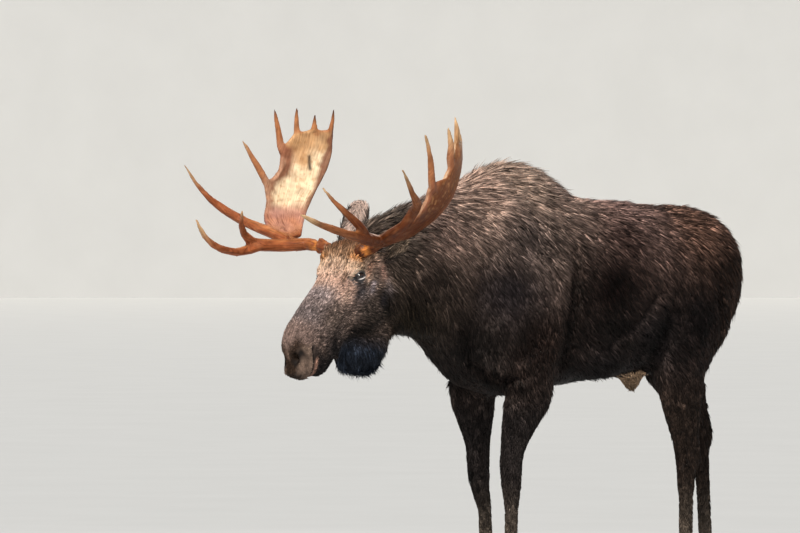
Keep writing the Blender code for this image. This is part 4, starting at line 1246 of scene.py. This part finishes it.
# A place on the leaf: share of its length, and -1 to 1 from edge to edge
def earPoint(label, share, turn):
    root, along, across, face, length = earFrame(label)
    half = np.interp(share, earShares, earHalves)
    roll = np.interp(share, earShares, earRolls)
    bend = turn * roll * 2.0
    radius = half / np.maximum(np.sin(np.minimum(roll * 2.0, pi / 2)), 0.2)
    inward = radius * (1 - np.cos(bend)) - 0.012 * np.sin(pi * share) - 0.010 * roll
    place = root + along * (length * share)[:, None]
    return place + across * (radius * np.sin(bend))[:, None] + face * inward[:, None]


# How far down the leaf each point is, and how far from its middle line, 1 at the edge
def earShare(label, points):
    root, along, across, _, length = earFrame(label)
    share = (points - root) @ along / length
    return share, np.abs((points - root) @ across) / np.interp(share, earShares, earHalves)


def makeEar(label):
    mesh = gridMesh(f"ear_leaf_{label}", 36, 24)
    flat = pointsOf(mesh)
    setPoints(mesh, earPoint(label, (flat[:, 0] + 1) / 2 * 0.995, flat[:, 1] * 0.96))
    face = earFrame(label)[3]
    thicken(mesh, -Vector(face), earLook["thickness"])
    points, normals = pointsOf(mesh), normalsOf(mesh)
    inner = smoothStep(normals @ face, -0.1, 0.35)
    share, fromMiddle = earShare(label, points)
    inside = np.array(earLook["inside"][label]) * (0.7 + 0.6 * softNoise(points, 0.02, 31))[:, None]
    colour = painted(np.array(earLook["outside"])[None, :], inner, inside)
    colour = painted(colour, smoothStep(fromMiddle, 0.72, 0.95), earLook["rim"])
    # Painted shade deep in the ear's cup, near its root
    cupShade = (1 - smoothStep(share, 0.10, 0.38)) * inner
    setColours(mesh, "markingsAndPaintedLight", colour * (1 - 0.7 * cupShade[:, None]))
    piece = newPiece(f"ear_leaf_{label}", mesh, hide)
    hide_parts(f"ear_{label}")
    return mesh


print("ears")
earMeshes = {label: makeEar(label) for label in earPose}


# Fur

furLook = {"buried": 0.003, "ringAt": 0.38, "ridge": 0.34, "clumpPull": 0.42, "jitter": 9.0,
           "rootTint": 0.30, "tipTint": 1.45, "patch": 0.003}


# Random points on the mesh, evenly spread over the faces that are chosen, with their normals
def surfaceRoots(mesh, wanted, chosen=None):
    mesh.calc_loop_triangles()
    corners = np.empty(len(mesh.loop_triangles) * 3, np.int32)
    mesh.loop_triangles.foreach_get("vertices", corners)
    corners = corners.reshape(-1, 3)
    points, normals = pointsOf(mesh), normalsOf(mesh)
    middle = points[corners].mean(axis=1)
    weight = chosen(middle) if chosen is not None else np.ones(len(middle))
    first, second, third = (points[corners[:, index]] for index in range(3))
    area = 0.5 * np.linalg.norm(np.cross(second - first, third - first), axis=1) * weight
    picks = dice.choice(len(corners), size=wanted, p=area / area.sum())
    u, v = dice.random(wanted), dice.random(wanted)
    flip = u + v > 1
    u[flip], v[flip] = 1 - u[flip], 1 - v[flip]
    share = np.stack([1 - u - v, u, v], axis=1)[:, :, None]
    roots = (points[corners[picks]] * share).sum(axis=1)
    return roots, unit((normals[corners[picks]] * share).sum(axis=1))


# Each root's nearest lock, as the lock's number and its middle
def clumps(roots, size):
    middles = roots[:: max(1, size)]
    tree = KDTree(len(middles))
    for index, point in enumerate(middles):
        tree.insert(point, index)
    tree.balance()
    nearest = np.array([tree.find(point)[1] for point in roots])
    return nearest, middles[nearest]


# Where a root is on an unwrap of the hide: by length along the body or head, and by the way round it
def bakePatch(roots):
    place = roots - bodyMiddle
    distance, height, left = faceCoordinates(roots)
    bodyTurn = np.arctan2(place[:, 1], place[:, 2] - 1.36) / tau + 0.5
    body = np.stack([0.02 + 0.60 * (place[:, 0] + 1.0) / 2.2, 0.02 + 0.55 * bodyTurn], axis=1)
    headTurn = np.arctan2(left, height + 0.13) / tau + 0.5
    head = np.stack([0.66 + 0.32 * np.clip((distance + 0.2) / 0.8, 0, 1), 0.02 + 0.55 * headTurn], axis=1)
    legAround = np.arctan2(place[:, 1] - np.sign(place[:, 1]) * 0.14,
                           place[:, 0] - np.where(place[:, 0] < betweenLegs, -0.05, 0.95)) / tau + 0.5
    legIndex = (place[:, 0] > betweenLegs) * 2 + (place[:, 1] > 0)
    leg = np.stack([0.02 + 0.24 * legIndex + 0.21 * legAround,
                    0.61 + 0.37 * np.clip(place[:, 2] / 1.1, 0, 1)], axis=1)
    onHead = (headShare(roots) > 0.5)[:, None]
    onLeg = (legShare(roots) > 0.5)[:, None]
    return np.clip(np.where(onHead, head, np.where(onLeg, leg, body)), 0.004, 0.990)


# How strongly the locks differ in tone: little on the muzzle and shoulder, most on the mane, back and croup
def contrastAt(roots, length):
    shoulder = fade(np.linalg.norm(sideView(roots) - np.array((-0.12, 1.33)), axis=1), 0.17)
    top = smoothStep(roots[:, 2], 1.40, 1.60) * (1 - headShare(roots))
    return (0.62 + 0.38 * smoothStep(length, 0.009, 0.018)) * (1 - 0.45 * shoulder) * (1 + 0.35 * top)


def perpendicular(vectors, axis):
    return vectors - axis * np.einsum("ij,ij->i", vectors, axis)[:, None]


# Many thin closed locks of hair in one mesh: each has a buried root, a ridged middle and a tip
def furPiece(name, roots, up, lie, lift, length, width, colour, material, slotName,
             clumpSize=7, pull=furLook["clumpPull"], spread=0.42, silver=0.10):
    count = len(roots)
    numbers, middles = clumps(roots, clumpSize)
    kinds = numbers.max() + 1
    jitter = furLook["jitter"]
    clumpTurn = dice.normal(0, 1, kinds)[numbers] * jitter
    ownTurn = dice.normal(0, 1, count) * jitter * 0.7
    clumpTint = np.exp(dice.normal(0, 0.38, kinds))[numbers]
    ownTint = np.exp(dice.normal(0, spread, count))
    clumpLift = dice.normal(0, 0.22, kinds)[numbers]
    ownLift = dice.normal(0, 0.16, count)
    flat = unit(perpendicular(lie, up))
    across = np.cross(up, flat)
    turn = np.radians(clumpTurn + ownTurn)[:, None]
    flat = flat * np.cos(turn) + across * np.sin(turn)
    across = np.cross(up, flat)
    length = length * np.exp(dice.normal(0, 0.20, count))
    raised = np.radians(lift * np.clip(1 + clumpLift + ownLift, 0.25, 2.2))[:, None]
    early = flat * np.cos(raised * 1.25) + up * np.sin(raised * 1.25)
    late = flat * np.cos(raised * 0.55) + up * np.sin(raised * 0.55)
    toMiddle = perpendicular(perpendicular(middles - roots, up), flat)
    ringAt = furLook["ringAt"]
    ring = roots + early * (length * ringAt)[:, None] + toMiddle * pull * 0.35
    tip = ring + late * (length * (1 - ringAt))[:, None] + toMiddle * pull * 0.65
    base = roots - up * furLook["buried"] - flat * 0.002
    bright = dice.random(count) < silver * smoothStep(length, 0.010, 0.017)
    width = width * np.exp(dice.normal(0, 0.18, count)) * np.where(bright, 0.72, 1.0)
    half = across * (width * 0.5)[:, None]
    over = unit(np.cross(early, across))
    over *= np.sign(np.einsum("ij,ij->i", over, up))[:, None]
    ridge = over * (width * furLook["ridge"])[:, None]
    points = np.stack([base, ring - half, ring + ridge, ring + half, tip], axis=1).reshape(-1, 3)
    order = np.array(((0, 2, 1), (0, 3, 2), (0, 1, 3), (4, 1, 2), (4, 2, 3), (4, 3, 1)))
    faces = (np.arange(count)[:, None, None] * 5 + order[None]).reshape(-1, 3)
    mesh = bpy.data.meshes.new(name)
    mesh.vertices.add(len(points))
    mesh.loops.add(faces.size)
    mesh.polygons.add(len(faces))
    mesh.vertices.foreach_set("co", points.astype(np.float32).ravel())
    mesh.loops.foreach_set("vertex_index", faces.astype(np.int32).ravel())
    mesh.polygons.foreach_set("loop_start", np.arange(0, faces.size, 3, dtype=np.int32))
    mesh.update(calc_edges=True)
    tint = ((clumpTint * ownTint) ** contrastAt(roots, length))[:, None]
    main = colour * tint
    pale = np.where(bright[:, None], 2.3, 1.0)
    side = main * 0.85
    stages = [main * furLook["rootTint"], side, main * 1.05 * np.sqrt(pale), side,
              main * furLook["tipTint"] * pale]
    stages = np.stack(stages, axis=1).reshape(-1, 3)
    stages = stages / np.maximum(stages.max(axis=1, keepdims=True) / 0.90, 1)  # a bright lock keeps its hue
    setColours(mesh, "markingsAndPaintedLight", stages)
    # Each lock is one small patch on the unwrap
    spots = bakePatch(roots)
    corner = np.array(((0.0, 0.0), (0.0, 0.5), (0.5, 0.5), (1.0, 0.5), (0.5, 1.0))) * furLook["patch"]
    uvs = (spots[:, None, :] + corner[None]).reshape(-1, 2)[faces.ravel()]
    layer = mesh.uv_layers.new(name="OFBake")
    layer.data.foreach_set("uv", uvs.astype(np.float32).ravel())
    newPiece(name, mesh, material, smooth=False)


# Roots under the burrs, where no hair grows
def insideAntlers(roots):
    forward, left, up = headCoordinates(roots)
    return (np.hypot(forward + 0.004, up - 0.005) < 0.025) & (np.abs(left) > 0.095)


# Round the eyes, in the nostrils and along the mouth
def bareSkin(roots):
    distance, height, left = faceCoordinates(roots)
    mouth = lineDistance(faceView(roots), mouthLine)
    bare = eyeDistance(roots) < 0.027
    bare |= (nostrilDistance(distance, left) < 0.015) & (height > -0.12)
    bare |= (mouth < 0.013) & (distance > 0.43)
    return bare | (dice.random(len(roots)) < 0.75 * lipPatch(roots))


def growZone(name, wanted, zone, material, slotName, widthShare=1.0, **options):
    roots, up = surfaceRoots(skinMesh, wanted, zone)
    keep = ~(insideAntlers(roots) | bareSkin(roots)) & (roots[:, 2] > 0.085)
    roots, up = roots[keep], up[keep]
    lie, lift, length, width, _, _ = coatAt(roots)
    lift = lift * (0.75 + 0.5 * softNoise(roots, 0.05, 41))
    length = length * (1 - 0.45 * np.clip(creaseShare(roots), 0, 1))
    coronet = 1 - smoothStep(roots[:, 2], 0.105, 0.150)  # longer and steeper over the hooves
    lift = lift + 16 * coronet
    elbow = np.linalg.norm(sideView(roots) - np.array((-0.215, 0.965)), axis=1)
    length = length * (1 + 1.2 * coronet) * (1 - 0.6 * fade(elbow, 0.05))
    furPiece(name, roots, up, lie, lift, length, width * widthShare, markingsAndPaintedLight(roots, up), material,
             slotName, **options)
    print(name, len(roots))


def isHead(points):
    return (headShare(points) >= 0.5) & (bellShare(points) < 0.5)


def isBody(points):
    return (headShare(points) < 0.5) & (legShare(points) < 0.5)


# The body from one x to another, on one side (-1 left, 1 right) of the parting
def bodyZone(start, end, parting, side):
    return lambda points: (isBody(points) & (bodyX(points) >= start) & (bodyX(points) < end)
                           & ((bodyY(points) < parting) == (side < 0)))


zones = {
    "face": lambda points: isHead(points) & (faceCoordinates(points)[0] > 0.03),
    "poll": lambda points: isHead(points) & (faceCoordinates(points)[0] <= 0.03),
    "bell": lambda points: bellShare(points) >= 0.5,
    "forelegs": lambda points: (legShare(points) >= 0.5) & (bodyX(points) < betweenLegs),
    "hindlegs": lambda points: (legShare(points) >= 0.5) & (bodyX(points) >= betweenLegs),
}
bodyZones = {
    # number of locks, first x, last x, parting, side
    "coat_neck_left": (20000, -9.0, -0.28, -0.03, -1),
    "coat_neck_right": (17000, -9.0, -0.28, -0.03, 1),
    "coat_front_left": (31000, -0.28, 0.22, 0.0, -1),
    "coat_front_right": (26000, -0.28, 0.22, 0.0, 1),
    "coat_rear_left": (32500, 0.22, 9.0, 0.0, -1),
    "coat_rear_right": (28000, 0.22, 9.0, 0.0, 1),
}
legHair = {"clumpSize": 8, "pull": 0.25, "silver": 0.02, "spread": 0.30}

print("fur")
coarse = furMaterial("coat_hair", 0.50)
fineFur = furMaterial("face_hair", 0.55)
growZone("coat_head_face", 32500, zones["face"], fineFur, "face_coat", clumpSize=6, pull=0.30, widthShare=1.2,
         spread=0.50)
growZone("coat_head_poll", 12000, zones["poll"], coarse, "face_coat", clumpSize=9)
growZone("coat_bell", 10000, zones["bell"], coarse, "face_coat", clumpSize=10)
for name, (wanted, *region) in bodyZones.items():
    growZone(name, wanted, bodyZone(*region), coarse, "body_coat")
growZone("coat_forelegs", 12000, zones["forelegs"], fineFur, "leg_coat", **legHair)
growZone("coat_hindlegs", 14000, zones["hindlegs"], fineFur, "leg_coat", **legHair)


def growEar(label):
    root, along, across, face, _ = earFrame(label)
    roots, up = surfaceRoots(earMeshes[label], earLook["locks"])
    keep = earShare(label, roots)[0] > 0.06
    roots, up = roots[keep], up[keep]
    share, fromMiddle = earShare(label, roots)
    inner = up @ face > 0.15
    sideways = unit(across * ((roots - root) @ across)[:, None])
    lie = along + sideways * np.where(inner, -0.55, 0.15)[:, None]
    colour = np.where(inner[:, None], np.array(earLook["inside"][label]) * 1.15, np.array(earLook["outside"]))
    colour = painted(colour, smoothStep(fromMiddle, 0.80, 0.97), earLook["rim"])
    length = np.where(inner, earLook["lockInside"], earLook["lockOutside"])
    length = length * (1 - 0.5 * smoothStep(share, 0.7, 1.0))
    lift = np.where(inner, 24.0, 7.0)
    width = np.full(len(roots), earLook["lockWidth"])
    furPiece(f"coat_ear_{label}", roots, up, lie, lift, length, width, colour, fineFur, "ear_coat", pull=0.3)


for label in earPose:
    growEar(label)


# Stage, lights and camera

def stageMaterial():
    material, nodes, links, shader = newMaterial("pale_floor")
    wear = objectNoise(nodes, links, 1.4, 3)
    shade = colourRamp(nodes, links, wear.outputs["Fac"],
                       [(0.3, (0.575, 0.575, 0.570)), (0.7, (0.595, 0.595, 0.590))])
    links.new(shade.outputs["Color"], shader.inputs["Base Color"])
    shader.inputs["Roughness"].default_value = 0.85
    return material


azimuth, elevation = radians(-33), radians(0.5)
studio = {"sky": 0.42, "skyColour": (0.86, 0.92, 1.0), "sun": 3.3, "sunColour": (1.0, 0.95, 0.86),
          "sunPlace": (-4.6, -4.4, 8.6), "softness": 9, "floorSize": 140, "wallSize": 30,
          "wallPlace": (0, 110, 20)}
view = {"lens": 437.4, "sensor": 36, "distance": 40, "humpHeight": 1.88, "leftOfHump": 105 / 243,
        "belowHump": 107 / 243}


def makeStage():
    material = stageMaterial()
    upright = Matrix.Translation(studio["wallPlace"]) @ Matrix.Rotation(radians(90), 4, "X")
    turn = Matrix.Rotation(azimuth, 4, "Z") @ upright
    floor = gridMesh("floor", 1, 1, studio["floorSize"])
    backdrop = gridMesh("backdrop", 1, 1, studio["wallSize"], turn)
    for mesh in (floor, backdrop):
        mesh.materials.append(material)
        addObject(mesh.name, mesh)
    world = bpy.data.worlds.new("studio")
    bpy.context.scene.world = world
    world.use_nodes = True
    background = world.node_tree.nodes["Background"]
    background.inputs["Color"].default_value = (*studio["skyColour"], 1)
    background.inputs["Strength"].default_value = studio["sky"]
    bpy.context.scene.view_settings.view_transform = "Standard"


def addLight(name, kind, energy, place, target, size, colour):
    lamp = bpy.data.lights.new(name, kind)
    lamp.energy = energy
    lamp.color = colour
    if kind == "AREA":
        lamp.size = size
    else:
        lamp.angle = size
    item = addObject(name, lamp)
    item.location = place
    item.rotation_euler = (Vector(target) - Vector(place)).to_track_quat("-Z", "Y").to_euler()


print("stage")
makeStage()
middle = (0, 0, 1.3)
addLight("sun", "SUN", studio["sun"], studio["sunPlace"], middle, radians(studio["softness"]),
         studio["sunColour"])
addLight("side_fill", "AREA", 60, (-6.5, -7.5, 3.0), middle, 6.0, (0.93, 0.96, 1.0))
addLight("rim", "AREA", 160, (5.0, 6.0, 5.0), middle, 5.0, (1.0, 0.97, 0.92))
addLight("eye_light", "AREA", 16, (-0.92, -5.40, 4.15), eyeMiddle, 0.8, (1.0, 1.0, 1.0))

back = Vector((sin(azimuth) * cos(elevation), -cos(azimuth) * cos(elevation), sin(elevation)))
right = Vector((cos(azimuth), sin(azimuth), 0))
over = back.cross(right)
aim = Vector((bodyMiddle[0], bodyMiddle[1], view["humpHeight"]))
aim = aim - right * view["leftOfHump"] - over * view["belowHump"]
lens = bpy.data.cameras.new("camera")
lens.lens = view["lens"]
lens.sensor_width = view["sensor"]
lens.clip_end = 200
camera = addObject("camera", lens)
camera.location = aim + back * view["distance"]
camera.rotation_mode = "QUATERNION"
camera.rotation_quaternion = (-back).to_track_quat("-Z", "Y")
bpy.context.scene.camera = camera
